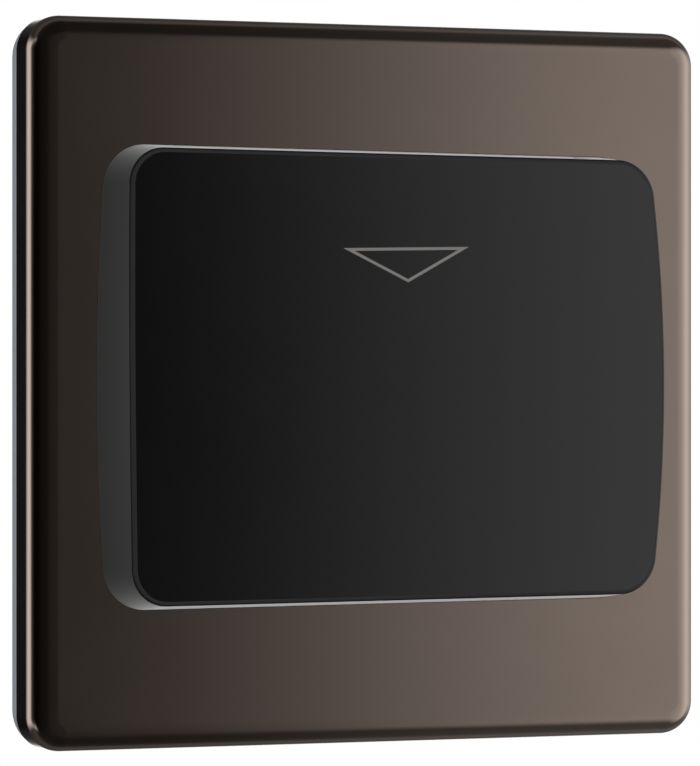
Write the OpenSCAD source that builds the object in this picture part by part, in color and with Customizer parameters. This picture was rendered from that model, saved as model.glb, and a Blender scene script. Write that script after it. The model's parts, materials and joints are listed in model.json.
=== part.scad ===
// Hotel key card switch for a single wall box, with a clip-on square plate.
// A card pushed into the slot on top of the holder swings a lever, and the lever
// presses a snap-action switch behind the wall. Millimetres, +Z up, the front
// faces -Y, and the origin is the middle of the fixing slots on the wall.

/* [Front plate] */
// Width of the front plate
plate_w = 95; // [92:0.5:105]
// Height of the front plate
plate_h = 95; // [92:0.5:105]
// Radius of the plate's corners
plate_corner_r = 4.5; // [4.2:0.1:9]
// Radius of the roll at the plate's front edge
plate_edge_r = 3.3; // [1:0.1:3.8]
// Depth of the plate from its rim to its face
plate_depth = 7; // [6:0.1:9]
// Thickness of the plate's metal
plate_wall = 1.6; // [1:0.1:2]
// Width of the prising notch in the plate's lower rim
prise_w = 9; // [5:0.5:15]
// Height of the prising notch
prise_h = 1.2; // [0.8:0.1:2]
// Gap all round between the card holder and the plate's window
window_gap = 0.25; // [0.15:0.05:0.6]

/* [Wall gasket] */
// Thickness of the gasket
gasket_t = 2; // [1:0.1:3]
// Width of the gasket's band
gasket_band = 4.3; // [3:0.1:5]
// Radius of the gasket's corners
gasket_corner_r = 5.2; // [4.8:0.1:9]
// Gap between the gasket and the mounting frame
gasket_gap = 0.2; // [0.1:0.05:0.5]

/* [Mounting frame] */
// Thickness of the steel frame
frame_t = 2; // [1.5:0.1:2.5]
// Distance between the wall fixing slots
fixing_centres = 60.3; // [60:0.1:62]
// Width of a fixing slot
fixing_d = 4; // [3.8:0.1:4.5]
// Length of a fixing slot, end to end
fixing_l = 6; // [5:0.1:6.5]
// Width of a plate clip
clip_w = 12; // [6:0.5:20]
// Thickness of a plate clip
clip_t = 0.4; // [0.3:0.05:0.6]
// Gap between a plate clip and the inside of the plate
clip_gap = 0.3; // [0.2:0.05:0.5]

/* [Card holder] */
// Width of the holder at the plate's face, at mid-height
holder_w = 77.8; // [77:0.1:79]
// Height of the holder at the plate's face
holder_h = 59.6; // [58.8:0.1:62]
// Height of the holder's middle above the fixing slots
holder_y = 0.8; // [0:0.1:1]
// Corner radius of the holder at the plate's face
holder_corner_r = 5.7; // [5:0.1:8]
// Radius of the bow along the left and right sides
side_bow_r = 340; // [250:5:600]
// Draft of the left and right sides, in degrees
side_draft = 7.2; // [4:0.1:9]
// Draft of the top and bottom, in degrees
end_draft = 5; // [3:0.1:6]
// Height of the front's crest above the plate's face
holder_proud = 9.7; // [9.4:0.1:12]
// Radius of the front's crown
crown_r = 200; // [190:5:500]
// Height of the crown's crest, measured from the fixing slots
crown_y = -2; // [-4:0.5:1]
// Radius of the front's edge
front_edge_r = 0.6; // [0.3:0.05:1.2]
// Thickness of the holder's sides
holder_wall = 2; // [1.5:0.1:2.2]
// Thickness of the holder's front
front_wall = 1.8; // [1.4:0.1:2]
// Diameter of the pegs that push into the frame
peg_d = 3.8; // [3:0.1:4.4]
// Gap round each peg in the frame
peg_gap = 0.1; // [0.05:0.05:0.3]
// How far a peg reaches into the frame
peg_in = 1.4; // [1:0.1:1.5]

/* [Card slot] */
// Width of the slot, which takes a 54 mm card
slot_w = 56.6; // [55.5:0.1:57.4]
// Distance of the slot's back edge from the plate's face
slot_back = 0.6; // [0.4:0.05:0.8]
// Chamfer along the slot's back edge
slot_lip = 0.45; // [0.2:0.05:0.55]
// Thickness of the two rails beside the card
rail_t = 4; // [3.4:0.1:4.4]
// Depth of the pocket below the holder's top
pocket_depth = 54.6; // [52:0.1:55]
// Thickness of the card stop at the foot of the pocket
stop_t = 2; // [1:0.1:2.2]
// Thickness of the wall behind the card
back_t = 2; // [1.6:0.1:2.2]
// Fit of inner pieces in their seats
seat_gap = 0.1; // [0.05:0.05:0.2]
// Diameter of the screws that hold the back wall
pocket_screw_d = 2; // [1.6:0.1:2.4]
// Length of those screws under the head
pocket_screw_l = 5; // [4:0.5:6]

/* [Card lever] */
// Height of the lever's pivot above the fixing slots
pivot_y = 8; // [7.5:0.1:8.5]
// Distance of the pivot in front of the frame
pivot_out = 1.5; // [1.2:0.1:1.8]
// Diameter of the pivot pin
pin_d = 2.5; // [2:0.1:3]
// Running gap round the pin in the lever
pin_gap = 0.05; // [0.03:0.01:0.08]
// Radius of the lever's eye round the pin
eye_r = 3; // [2.6:0.1:3.2]
// Width of the lever
lever_w = 10; // [8:0.1:11]
// Thickness of the lever's arm
arm_t = 3; // [2.4:0.1:3.2]
// Gap at each side of the lever
lever_gap = 0.4; // [0.3:0.05:0.6]
// Distance from the pivot down to the nose's tip
nose_r = 24.5; // [23.5:0.1:25]
// How far the nose stands into the pocket
nose_in = 3.8; // [3.4:0.1:4]
// Width of the flat on the nose's tip
nose_flat = 2; // [1:0.1:3]
// Turn of the lever as the card goes in, in degrees
lever_turn = 10; // [9.5:0.1:10.5]
// Distance from the pivot down to the pad that presses the switch
press_r = 12; // [11.8:0.1:12.4]
// Radius of that pad
pad_r = 1.5; // [1.2:0.1:1.8]
// Gap between the pad and the plunger at rest
press_gap = 0.1; // [0.08:0.01:0.2]
// Outside diameter of the return spring
spring_d = 5; // [4.4:0.1:5.2]
// Wire diameter of the return spring
spring_wire = 0.5; // [0.4:0.05:0.6]
// Length of the return spring with no card in
spring_l = 10; // [9.5:0.1:10.5]
// Turns of the return spring
spring_turns = 7; // [5:1:9]

/* [Snap switch] */
// Length of the switch
switch_l = 27.8; // [27:0.1:28.4]
// Depth of the switch, front to back
switch_h = 15.9; // [15.5:0.1:16.4]
// Thickness of the switch
switch_w = 10.3; // [10:0.1:10.6]
// Wall of the switch's case
switch_wall = 1.2; // [1:0.05:1.4]
// Diameter of the pins through the switch
switch_pin_d = 3; // [2.6:0.1:3.1]
// Pin to pin distance along the switch
switch_pin_x = 22.2; // [21.6:0.1:22.4]
// Pin to pin distance from the switch's front to its back
switch_pin_depth = 9.6; // [9:0.1:10]
// Distance of the plunger from the middle of the switch
plunger_off = 4.5; // [4:0.1:5]
// Diameter of the plunger
plunger_d = 3; // [2.6:0.1:3.2]
// Running gap round the plunger
plunger_gap = 0.05; // [0.03:0.01:0.1]
// How far the plunger stands out at rest
plunger_out = 2.5; // [2.4:0.05:2.8]
// Width of the switch's tabs
tab_w = 6.3; // [5:0.1:6.5]
// Thickness of the tabs and of the brass links
tab_t = 0.8; // [0.6:0.05:0.9]
// Length of the tabs outside the case
tab_l = 3.2; // [2.8:0.1:3.4]
// Thickness of the moving contact blade
blade_t = 0.3; // [0.2:0.05:0.4]

/* [Rear housing] */
// Width of the housing
housing_w = 49; // [48:0.1:50]
// Height of the housing
housing_h = 46; // [45.6:0.1:47]
// Depth of the housing behind the wall's face
housing_depth = 28.6; // [25.6:0.1:32]
// Wall of the housing
housing_wall = 2; // [1.6:0.1:2.2]
// Thickness of the housing's shelves and partitions
shelf_t = 1.6; // [1.2:0.1:1.8]
// Gap between the housing and the frame's window
housing_gap = 0.2; // [0.1:0.05:0.4]
// Reach of the flange's four ears past the housing, left and right
flange_out = 4.4; // [3.8:0.1:5]
// Thickness of the flange's ears
flange_t = 1.6; // [1.2:0.1:2]
// Diameter of the housing screws and the board screws
small_screw_d = 2.5; // [2:0.1:2.8]

/* [Terminals] */
// Distance between terminals
term_pitch = 14; // [13:0.1:14.2]
// Width of a terminal block
term_w = 9; // [8:0.1:10]
// Height of a terminal block
term_h = 8; // [7.2:0.1:8.4]
// Depth of a terminal block
term_l = 10; // [9.4:0.1:10.4]
// Diameter of the wire's hole
wire_d = 4.4; // [3.6:0.1:4.8]
// Diameter of the clamp screw
clamp_d = 3.5; // [3:0.1:4]
// Diameter of the clamp screw's head
clamp_head_d = 4.8; // [4.4:0.1:5.2]
// Radial gap of the screws in their holes
screw_gap = 0.05; // [0.03:0.01:0.1]
// Distance of the earth terminal below the fixing slots
earth_y = 30.6; // [30.2:0.1:31.5]
// Width of the narrow brass links
link_w = 3; // [2.4:0.1:4]

/* [Locator light] */
// Thickness of the circuit board
board_t = 1.6; // [1.2:0.1:1.8]
// Distance of the board's front behind the wall's face
board_back = 8; // [7.6:0.1:8.4]
// Distance of the light guide below the board's top
guide_drop = 7; // [6.4:0.1:7.6]
// Diameter of the light guide
guide_d = 4; // [3:0.1:4.6]
// Diameter of the light
led_d = 3; // [2.6:0.1:3.2]
// Height of the light above the board
led_h = 5.3; // [4.6:0.1:5.6]

/* [Hidden] */
$fn = 48;

// Overrun of a cut past the face it opens
over = 1;
// Steps along a corner and along a side of the holder's outline, and round its front edge
corner_steps = 8;
side_steps = 12;
edge_steps = 4;
outline_steps = 2 * corner_steps + side_steps + 1;
// Depths are measured outward from the wall
face_d = gasket_t + plate_depth;
front_d = face_d + holder_proud;
pocket_d = face_d + slot_back;
plate_inside_d = face_d - plate_wall;
// Places in the holder
stop_y = holder_y + holder_h / 2 - pocket_depth;
rail_x = slot_w / 2 + rail_t / 2;
peg_r = peg_d / 2;
boss_r = 3.2;
boss_inset_x = 3.7;
boss_inset_y = 5.4;
peg_x = holder_w / 2 - holder_wall - boss_inset_x;
peg_y = holder_h / 2 - holder_wall - boss_inset_y;
pocket_screw_y = 14;
// Mounting frame
frame_w = plate_w - 2 * (gasket_band + gasket_gap);
frame_h = plate_h - 2 * (gasket_band + gasket_gap);
frame_corner_r = 3;
clip_x = frame_w / 4;
clip_foot = 2.2;
clip_head = 0.8;
// Card lever
pivot_d = frame_t + pivot_out;
arm_back = pivot_d - arm_t / 2;
arm_front = pivot_d + arm_t / 2;
nose_y = pivot_y - nose_r;
nose_d = pocket_d + nose_in;
nose_top = 7.5;
nose_foot = 1.5;
press_y = pivot_y - press_r;
pad_d = arm_back - pad_r / 3;
ear_t = 3;
ear_x = lever_w / 2 + lever_gap;
ear_reach = 3.3;
// Snap switch
plunger_tip = pad_d - pad_r - press_gap;
switch_front = plunger_tip - plunger_out;
switch_back = switch_front - switch_h;
switch_x = -plunger_off;
switch_bottom = press_y - switch_w / 2;
switch_top = press_y + switch_w / 2;
tab_end = switch_back - tab_l;
switch_inside = switch_front - switch_wall;
plunger_travel = press_r * lever_turn * PI / 180;
plunger_in = 4.4;
plunger_low = switch_inside - plunger_in;
collar_t = 1;
collar_r = plunger_d / 2 + 0.7;
// Share of the plunger's travel before it meets the blade, and share of it between the contacts
blade_lag = 0.62;
contact_share = 0.93;
blade_d = plunger_low - blade_lag * plunger_travel;
blade_l = 18.5;
blade_w = 4;
blade_x = -term_pitch + 0.5;
blade_eye_r = 0.6;
contact_r = 0.8;
contact_h = 1.1;
contact_rest = 0.15;
contact_sink = 0.3;
contact_x = blade_x + blade_l - contact_r - contact_sink;
rest_contact_d = blade_d + blade_t / 2 + contact_rest;
work_contact_d = blade_d - contact_share * plunger_travel;
rest_strip_w = 2;
work_strip_w = 2.4;
rest_strip_d = rest_contact_d + contact_h - contact_sink;
// Rear housing, built down from the switch to the terminals' floor and then up by its height
housing_back = -housing_depth;
housing_back_in = housing_back + housing_wall;
housing_x_in = housing_w / 2 - housing_wall;
shelf_y = switch_top + seat_gap;
shelf_top = shelf_y + shelf_t;
rib_y = switch_bottom - shelf_t;
link_room = 1.45;
term_top = rib_y - link_room - tab_t;
floor_y = term_top - term_h;
housing_low = floor_y - housing_wall;
housing_high = housing_low + housing_h;
housing_mid = (housing_low + housing_high) / 2;
roof_y = housing_high - housing_wall;
flange_y = 13;
flange_w = 7;
flange_screw_x = housing_w / 2 + flange_out / 2;
shelf_front = switch_front + 0.6;
rib_front = switch_front - 0.4;
ear_root = 4;
ear_back = switch_front - ear_root;
spring_room = 0.9;
spring_y = rib_y - spring_d / 2 - spring_room;
spring_post_gap = 0.35;
spring_post_r = spring_d / 2 - spring_wire - spring_post_gap;
spring_post_l = 1.6;
partition_d = arm_back - spring_l;
// Terminals
term_front = partition_d - shelf_t;
wire_back = 3.5;
screw_head_h = 2;
screw_head_gap = 0.3;
driver_d = clamp_head_d + 0.6;
wire_entry_d = wire_d + 0.8;
clamp_tip_gap = 0.3;
earth_x = 1.5 * term_pitch;
link_edge = 0.4;
link_end_d = term_front - wire_back - wire_d / 2 - link_edge;
// Locator light
board_front = -board_back;
board_rear = board_front - board_t;
board_edge_gap = 0.6;
board_bottom = shelf_top + 2 * board_edge_gap;
board_top = roof_y - board_edge_gap;
board_x = housing_x_in - board_edge_gap;
post_r = 2.4;
post_inset = 3.6;
post_x = housing_x_in - post_inset;
post_y = roof_y - post_inset;
board_head_h = 1.4;
board_screw_l = 5;
link_drop = 5.9;
link_y = board_top - link_drop;
part_x = (ear_x + ear_t + board_x) / 2;
guide_x = part_x;
guide_y = board_top - guide_drop;
guide_flange_t = 1.2;
guide_led_gap = 0.4;
guide_rear = board_front + led_h + guide_led_gap;
// Small parts on the board
capacitor_w = 15;
capacitor_h = 6;
capacitor_l = 10;
resistor_r = 1.2;
resistor_l = 5.6;
lead_r = 0.35;
lead_out = 1.6;
rectifier_w = 7;
rectifier_h = 4.8;
rectifier_t = 2.6;
leg_w = 0.8;
leg_t = 1;
leg_l = 1.8;
part_lift = 0.5;
part_rise = 3;

// Turns x across, y up and z out of the wall into the object's own frame
module on_wall() {
    rotate([90, 0, 0]) children();
}

// A flat rectangle with round corners
module rounded_rect(w, h, r) {
    square([w - 2 * r, h], center = true);
    square([w, h - 2 * r], center = true);
    for (sx = [-1, 1], sy = [-1, 1])
        translate([sx * (w / 2 - r), sy * (h / 2 - r)]) circle(r = r);
}

// A slab with round corners and a rolled front edge, from z = 0 up to z = t
module rolled_slab(w, h, r, edge, t) {
    linear_extrude(t - edge) rounded_rect(w, h, r);
    linear_extrude(t) rounded_rect(w - 2 * edge, h - 2 * edge, r - edge);
    for (s = [-1, 1]) {
        translate([0, s * (h / 2 - edge), t - edge]) rotate([0, 90, 0])
            cylinder(r = edge, h = w - 2 * r, center = true);
        translate([s * (w / 2 - edge), 0, t - edge]) rotate([90, 0, 0])
            cylinder(r = edge, h = h - 2 * r, center = true);
    }
    for (sx = [-1, 1], sy = [-1, 1])
        translate([sx * (w / 2 - r), sy * (h / 2 - r), t - edge]) rotate_extrude() intersection() {
            translate([r - edge, 0]) circle(r = edge);
            square([r, edge]);
        }
}

// A box given by its low and high corners
module block(low, high) {
    translate(low) cube(high - low);
}

// A bar along x
module bar_x(r, l) {
    rotate([0, 90, 0]) cylinder(r = r, h = l, center = true);
}

// Point i of the right half of the holder's outline, counted from the bottom up
function right_point(i, hw, hh, r) = let (
        bow_x = hw - side_bow_r,
        cy = hh - r,
        lean = asin(cy / (side_bow_r - r)),
        cx = bow_x + (side_bow_r - r) * cos(lean),
        top = i - corner_steps - side_steps,
        low_a = -90 + i * (90 - lean) / corner_steps,
        side_a = lean * (2 * (i - corner_steps) / side_steps - 1),
        top_a = lean + top * (90 - lean) / corner_steps
    ) i < corner_steps ? [cx + r * cos(low_a), r * sin(low_a) - cy]
        : top <= 0 ? [bow_x + side_bow_r * cos(side_a), side_bow_r * sin(side_a)]
        : [cx + r * cos(top_a), cy + r * sin(top_a)];

// The right point at a rise above the plate's face, taken in by an inset
function drafted_point(i, rise, inset) = right_point(i,
    holder_w / 2 - inset - rise * tan(side_draft),
    holder_h / 2 - inset - rise * tan(end_draft),
    holder_corner_r - inset - rise * tan(end_draft));

// Both halves of an outline from its right half
function mirrored(half) = concat(half,
    [for (i = [len(half) - 1:-1:0]) [-half[i][0], for (k = [1:len(half[i]) - 1]) half[i][k]]]);

// The holder's outline behind the plate's face, taken in by an inset
function holder_outline(inset) = mirrored([for (i = [0:outline_steps - 1]) drafted_point(i, 0, inset)]);

// How far the crowned front falls back at height y on the holder
function crown_drop(y) = crown_r - sqrt(pow(crown_r, 2) - pow(y + holder_y - crown_y, 2));

// Rise of the drafted side at point i, up to where the front's edge starts to turn
function side_rise(i, inset, edge, proud) =
    proud - edge - crown_drop(drafted_point(i, proud - edge, inset)[1]);

// One ring of the holder: its side, then its front edge turned through an angle
function edge_ring(inset, edge, proud, turn) = mirrored([for (i = [0:outline_steps - 1]) let (
        rise = side_rise(i, inset, edge, proud),
        p = right_point(i,
            holder_w / 2 - inset - rise * tan(side_draft) - edge * (1 - cos(turn)),
            holder_h / 2 - inset - rise * tan(end_draft) - edge * (1 - cos(turn)),
            holder_corner_r - inset - rise * tan(end_draft) - edge * (1 - cos(turn)))
    ) [p[0], p[1], face_d + rise + edge * sin(turn)]]);

// The holder's outside, or with an inset its hollow
module holder_shape(inset, edge, proud, back) {
    straight = holder_outline(inset);
    rings = concat(
        [[for (p = straight) [p[0], p[1], back]]],
        [[for (p = straight) [p[0], p[1], face_d]]],
        [for (k = [0:edge_steps]) edge_ring(inset, edge, proud, 90 * k / edge_steps)]);
    n = 2 * outline_steps;
    last = n * (len(rings) - 1);
    sides = [for (k = [0:len(rings) - 2], j = [0:n - 1]) let (a = k * n + j, b = k * n + (j + 1) % n)
        each [[a + n, b + n, b], [a + n, b, a]]];
    front = [for (i = [0:outline_steps - 2]) let (l = last + n - 1 - i, r = last + i)
        each [[l, l - 1, r + 1], [l, r + 1, r]]];
    rear = [for (i = [0:outline_steps - 2]) let (l = n - 1 - i, r = i)
        each [[l, r + 1, l - 1], [l, r, r + 1]]];
    polyhedron(points = [for (ring = rings) each ring], faces = concat(sides, front, rear));
}

// The four places of the pegs
module at_pegs() {
    for (sx = [-1, 1], sy = [-1, 1]) translate([sx * peg_x, holder_y + sy * peg_y, 0]) children();
}

// The four places of the screws through the back wall
module at_pocket_screws() {
    for (sx = [-1, 1], sy = [-1, 1]) translate([sx * rail_x, holder_y + sy * pocket_screw_y, 0]) children();
}

// The four places of the housing screws
module at_housing_screws() {
    for (sx = [-1, 1], sy = [-1, 1])
        translate([sx * flange_screw_x, housing_mid + sy * flange_y, 0]) children();
}

// The two places of the board screws
module at_board_screws() {
    for (sx = [-1, 1]) translate([sx * post_x, post_y, 0]) children();
}

// The two places of the pins through the switch, along y
module at_switch_pins() {
    mid_d = (switch_front + switch_back) / 2;
    for (s = [-1, 1])
        translate([switch_x + s * switch_pin_x / 2, 0, mid_d - s * switch_pin_depth / 2])
            rotate([-90, 0, 0]) children();
}

// Front plate: a rolled shell with a window for the card holder
module front_plate() {
    color([0.24, 0.21, 0.19]) on_wall() difference() {
        translate([0, 0, gasket_t])
            rolled_slab(plate_w, plate_h, plate_corner_r, plate_edge_r, plate_depth);
        translate([0, 0, gasket_t - over])
            rolled_slab(plate_w - 2 * plate_wall, plate_h - 2 * plate_wall, plate_corner_r - plate_wall,
                max(plate_edge_r - plate_wall, plate_wall / 4), plate_depth - plate_wall + over);
        translate([0, holder_y, gasket_t]) linear_extrude(plate_depth + over)
            polygon(holder_outline(-window_gap));
        block([-prise_w / 2, -plate_h / 2 - over, gasket_t - over],
            [prise_w / 2, -plate_h / 2 + plate_wall + over, gasket_t + prise_h]);
    }
}

// Wall gasket: a flat band that follows the plate's rim
module wall_gasket() {
    color([0.78, 0.8, 0.82]) on_wall() linear_extrude(gasket_t) difference() {
        rounded_rect(plate_w, plate_h, gasket_corner_r);
        rounded_rect(plate_w - 2 * gasket_band, plate_h - 2 * gasket_band,
            max(gasket_corner_r - gasket_band, frame_corner_r + gasket_gap));
    }
}

// Mounting frame: a steel plate with the fixing slots, the housing's window and the peg holes
module mounting_frame() {
    color([0.62, 0.64, 0.66]) on_wall() difference() {
        linear_extrude(frame_t) rounded_rect(frame_w, frame_h, frame_corner_r);
        block([-housing_w / 2 - housing_gap, housing_low - housing_gap, -over],
            [housing_w / 2 + housing_gap, housing_high + housing_gap, frame_t + over]);
        for (s = [-1, 1]) translate([s * fixing_centres / 2, 0, -over]) {
            for (e = [-1, 1]) translate([e * (fixing_l - fixing_d) / 2, 0, 0])
                cylinder(d = fixing_d, h = frame_t + 2 * over);
            block([-(fixing_l - fixing_d) / 2, -fixing_d / 2, 0],
                [(fixing_l - fixing_d) / 2, fixing_d / 2, frame_t + 2 * over]);
        }
        at_pegs() translate([0, 0, -over]) cylinder(r = peg_r + peg_gap, h = frame_t + 2 * over);
        at_housing_screws() translate([0, 0, -over])
            cylinder(d = small_screw_d + 2 * screw_gap, h = frame_t + 2 * over);
    }
}

// A bent spring clip at the frame's edge that reaches out to the inside of the plate
module spring_clip(edge, inside) {
    foot = edge - clip_foot;
    knee = max(gasket_t, frame_t) + clip_t;
    top = plate_inside_d - clip_head;
    mid = (top + knee) / 2;
    tail = (edge + inside) / 2;
    rotate([90, 0, 0]) linear_extrude(clip_w, center = true) polygon([
        [foot, frame_t], [edge, frame_t], [edge, knee], [inside - clip_gap, mid], [tail, top],
        [tail - clip_t, top], [inside - clip_gap - 1.4 * clip_t, mid], [edge - clip_t, knee + clip_t / 2],
        [edge - clip_t, frame_t + clip_t], [foot, frame_t + clip_t]]);
}

// Plate clips: four springs on the frame that grip the inside of the plate
module plate_clips() {
    color([0.7, 0.71, 0.72]) on_wall()
        for (a = [90, 270], s = [-1, 1]) translate([s * clip_x, 0, 0]) rotate([0, 0, a])
            spring_clip(frame_h / 2, plate_h / 2 - plate_wall);
}

// Card holder: a crowned, drafted shell with rails, a card stop, a slot on top and four pegs
module card_holder() {
    rail_out = rail_x + rail_t / 2;
    color([0.07, 0.07, 0.07]) on_wall() {
        difference() {
            translate([0, holder_y, 0]) holder_shape(0, front_edge_r, holder_proud, frame_t);
            difference() {
                translate([0, holder_y, 0])
                    holder_shape(holder_wall, front_edge_r, holder_proud - front_wall, frame_t - over);
                for (s = [-1, 1]) translate([s * rail_x, 0, 0])
                    block([-rail_t / 2, stop_y - stop_t, pocket_d], [rail_t / 2, holder_h, front_d]);
                block([-rail_out, stop_y - stop_t, pocket_d], [rail_out, stop_y, front_d]);
                at_pegs() translate([0, 0, frame_t]) cylinder(r = boss_r, h = front_d);
            }
            card_slot();
            at_pocket_screws() translate([0, 0, pocket_d - over])
                cylinder(d = pocket_screw_d + 2 * screw_gap, h = pocket_screw_l - back_t + 2 * over);
        }
        at_pegs() translate([0, 0, frame_t - peg_in]) cylinder(r = peg_r, h = peg_in + pocket_d);
    }
}

// The slot through the holder's top, with a chamfered back edge
module card_slot() {
    top = holder_y + holder_h / 2;
    slot_front = face_d + holder_proud - front_wall - crown_drop(holder_h / 2 - holder_wall);
    block([-slot_w / 2, top - 2 * holder_wall, pocket_d], [slot_w / 2, top + over, slot_front]);
    translate([0, top - slot_back * tan(end_draft), pocket_d]) rotate([45, 0, 0])
        cube([slot_w, slot_lip * sqrt(2), slot_lip * sqrt(2)], center = true);
}

// Pocket back: the wall behind the card, with a window for the lever's nose
module pocket_back() {
    window_x = lever_w / 2 + 2 * lever_gap;
    nose_room = 2;
    color([0.12, 0.12, 0.12]) on_wall() difference() {
        translate([0, holder_y, pocket_d - back_t]) linear_extrude(back_t)
            polygon(holder_outline(holder_wall + seat_gap));
        at_pegs() translate([0, 0, pocket_d - back_t - over])
            cylinder(r = boss_r + seat_gap, h = back_t + 2 * over);
        block([-window_x, nose_y - nose_flat - nose_room, pocket_d - back_t - over],
            [window_x, nose_y + nose_flat + nose_top + nose_room, pocket_d + over]);
        at_pocket_screws() translate([0, 0, pocket_d - back_t - over])
            cylinder(d = pocket_screw_d + 2 * screw_gap, h = back_t + 2 * over);
        translate([guide_x, guide_y, pocket_d - back_t - over])
            cylinder(d = guide_d + 2 * seat_gap, h = back_t + 2 * over);
    }
}

// A round-headed screw whose head's underside is at z = 0 and whose shank runs up or down z
module screw(d, head_d, head_h, l) {
    translate([0, 0, -l]) cylinder(d = d, h = l);
    difference() {
        cylinder(d = head_d, h = head_h);
        block([-head_d, -head_d / 10, head_h / 2], [head_d, head_d / 10, head_h + over]);
    }
}

// Pocket screws: four small screws through the back wall into the rails
module pocket_screws() {
    head_d = 1.9 * pocket_screw_d;
    head_h = 0.6 * pocket_screw_d;
    color([0.55, 0.56, 0.58]) on_wall() at_pocket_screws() translate([0, 0, pocket_d - back_t])
        rotate([180, 0, 0]) screw(pocket_screw_d, head_d, head_h, pocket_screw_l);
}

// Light guide: a clear rod that brings the locator light to the slot
module light_guide() {
    color([0.85, 0.92, 0.97, 0.6]) on_wall() translate([guide_x, guide_y, 0]) {
        translate([0, 0, guide_rear]) cylinder(d = guide_d, h = pocket_d - guide_rear);
        translate([0, 0, pocket_d - back_t - guide_flange_t])
            cylinder(d = guide_d + 2 * guide_flange_t, h = guide_flange_t);
    }
}

// Card lever: an arm with an eye, a ramped nose, a pad for the switch and a spring post
module card_lever() {
    tip_low = nose_y - nose_flat / 2;
    tip_high = nose_y + nose_flat / 2;
    color([0.9, 0.9, 0.87]) on_wall() difference() {
        union() {
            rotate([90, 0, 90]) linear_extrude(lever_w, center = true) polygon([
                [pivot_y, arm_back], [pivot_y, arm_front], [tip_high + nose_top, arm_front],
                [tip_high, nose_d], [tip_low, nose_d], [tip_low - nose_foot, arm_front],
                [tip_low - nose_foot, arm_back]]);
            translate([0, pivot_y, pivot_d]) bar_x(eye_r, lever_w);
            translate([0, press_y, pad_d]) bar_x(pad_r, lever_w);
            translate([0, spring_y, arm_back - spring_post_l]) cylinder(r = spring_post_r, h = arm_t);
        }
        translate([0, pivot_y, pivot_d]) bar_x(pin_d / 2 + pin_gap, lever_w + 2 * over);
    }
}

// Lever pin: the steel pivot, held in the housing's two ears
module lever_pin() {
    color([0.75, 0.76, 0.78]) on_wall() translate([0, pivot_y, pivot_d])
        bar_x(pin_d / 2, 2 * (ear_x + ear_t));
}

// Centre line of the return spring, from the partition to the lever's arm
function spring_path(steps) = let (
        r = (spring_d - spring_wire) / 2,
        low = partition_d + spring_wire / 2,
        rise = spring_l - spring_wire
    ) [for (i = [0:steps]) let (a = 360 * spring_turns * i / steps)
        [r * cos(a), spring_y + r * sin(a), low + rise * i / steps]];

// A round tube along a path of points that winds about z
module wound_tube(path, r, sides) {
    n = len(path);
    rings = [for (i = [0:n - 1]) let (
            ahead = path[min(i + 1, n - 1)] - path[max(i - 1, 0)],
            along = ahead / norm(ahead),
            side = cross(along, [0, 0, 1]) / norm(cross(along, [0, 0, 1])),
            up = cross(side, along)
        ) [for (k = [0:sides - 1]) let (a = 360 * k / sides) path[i] + r * (cos(a) * side + sin(a) * up)]];
    skin = [for (i = [0:n - 2], k = [0:sides - 1]) let (
            a = i * sides + k, b = i * sides + (k + 1) % sides)
        each [[a, b, b + sides], [a, b + sides, a + sides]]];
    first = [for (k = [sides - 1:-1:0]) k];
    end = [for (k = [0:sides - 1]) (n - 1) * sides + k];
    polyhedron(points = [for (ring = rings) each ring], faces = concat(skin, [first, end]));
}

// Lever spring: the compression spring that swings the lever back out
module lever_spring() {
    color([0.8, 0.81, 0.83]) on_wall() wound_tube(spring_path(12 * spring_turns), spring_wire / 2, 6);
}

// The switch's outline between its case and its lid, by its low and high heights
module switch_box(low, high, inset) {
    block([switch_x - switch_l / 2 + inset, low, switch_back + inset],
        [switch_x + switch_l / 2 - inset, high, switch_front - inset]);
}

// Switch case: an open box round the contacts, with bosses for the two pins
module switch_case() {
    lid_y = switch_top - switch_wall;
    color([0.16, 0.16, 0.17]) on_wall() difference() {
        union() {
            difference() {
                switch_box(switch_bottom, lid_y, 0);
                switch_box(switch_bottom + switch_wall, switch_top, switch_wall);
            }
            intersection() {
                switch_box(switch_bottom, lid_y, 0);
                at_switch_pins() translate([0, 0, switch_bottom])
                    cylinder(d = switch_pin_d + 2 * switch_wall, h = switch_w);
            }
        }
        at_switch_pins() translate([0, 0, switch_bottom - over])
            cylinder(d = switch_pin_d + 2 * seat_gap, h = switch_w + 2 * over);
        translate([0, press_y, switch_front - switch_wall - over])
            cylinder(d = plunger_d + 2 * plunger_gap, h = switch_wall + 2 * over);
        tab_openings();
    }
}

// Openings in the case for the three tabs
module tab_openings() {
    half_t = tab_t / 2 + seat_gap;
    right = switch_x + switch_l / 2;
    for (x = [-term_pitch, 0])
        block([x - tab_w / 2 - seat_gap, press_y - half_t, switch_back - over],
            [x + tab_w / 2 + seat_gap, press_y + half_t, switch_back + switch_wall + over]);
    block([right - switch_wall - over, press_y - half_t, rest_strip_d - seat_gap],
        [right + over, press_y + half_t, rest_strip_d + rest_strip_w + seat_gap]);
}

// Switch lid: the flat cover on the case
module switch_lid() {
    color([0.62, 0.14, 0.12]) on_wall() difference() {
        switch_box(switch_top - switch_wall, switch_top, 0);
        at_switch_pins() translate([0, 0, switch_bottom])
            cylinder(d = switch_pin_d + 2 * seat_gap, h = switch_w + over);
    }
}

// Switch plunger: the button that the lever presses
module switch_plunger() {
    color([0.85, 0.2, 0.16]) on_wall() translate([0, press_y, 0]) {
        translate([0, 0, plunger_low]) cylinder(d = plunger_d, h = plunger_tip - plunger_low);
        translate([0, 0, switch_inside - seat_gap - collar_t]) cylinder(r = collar_r, h = collar_t);
    }
}

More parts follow.
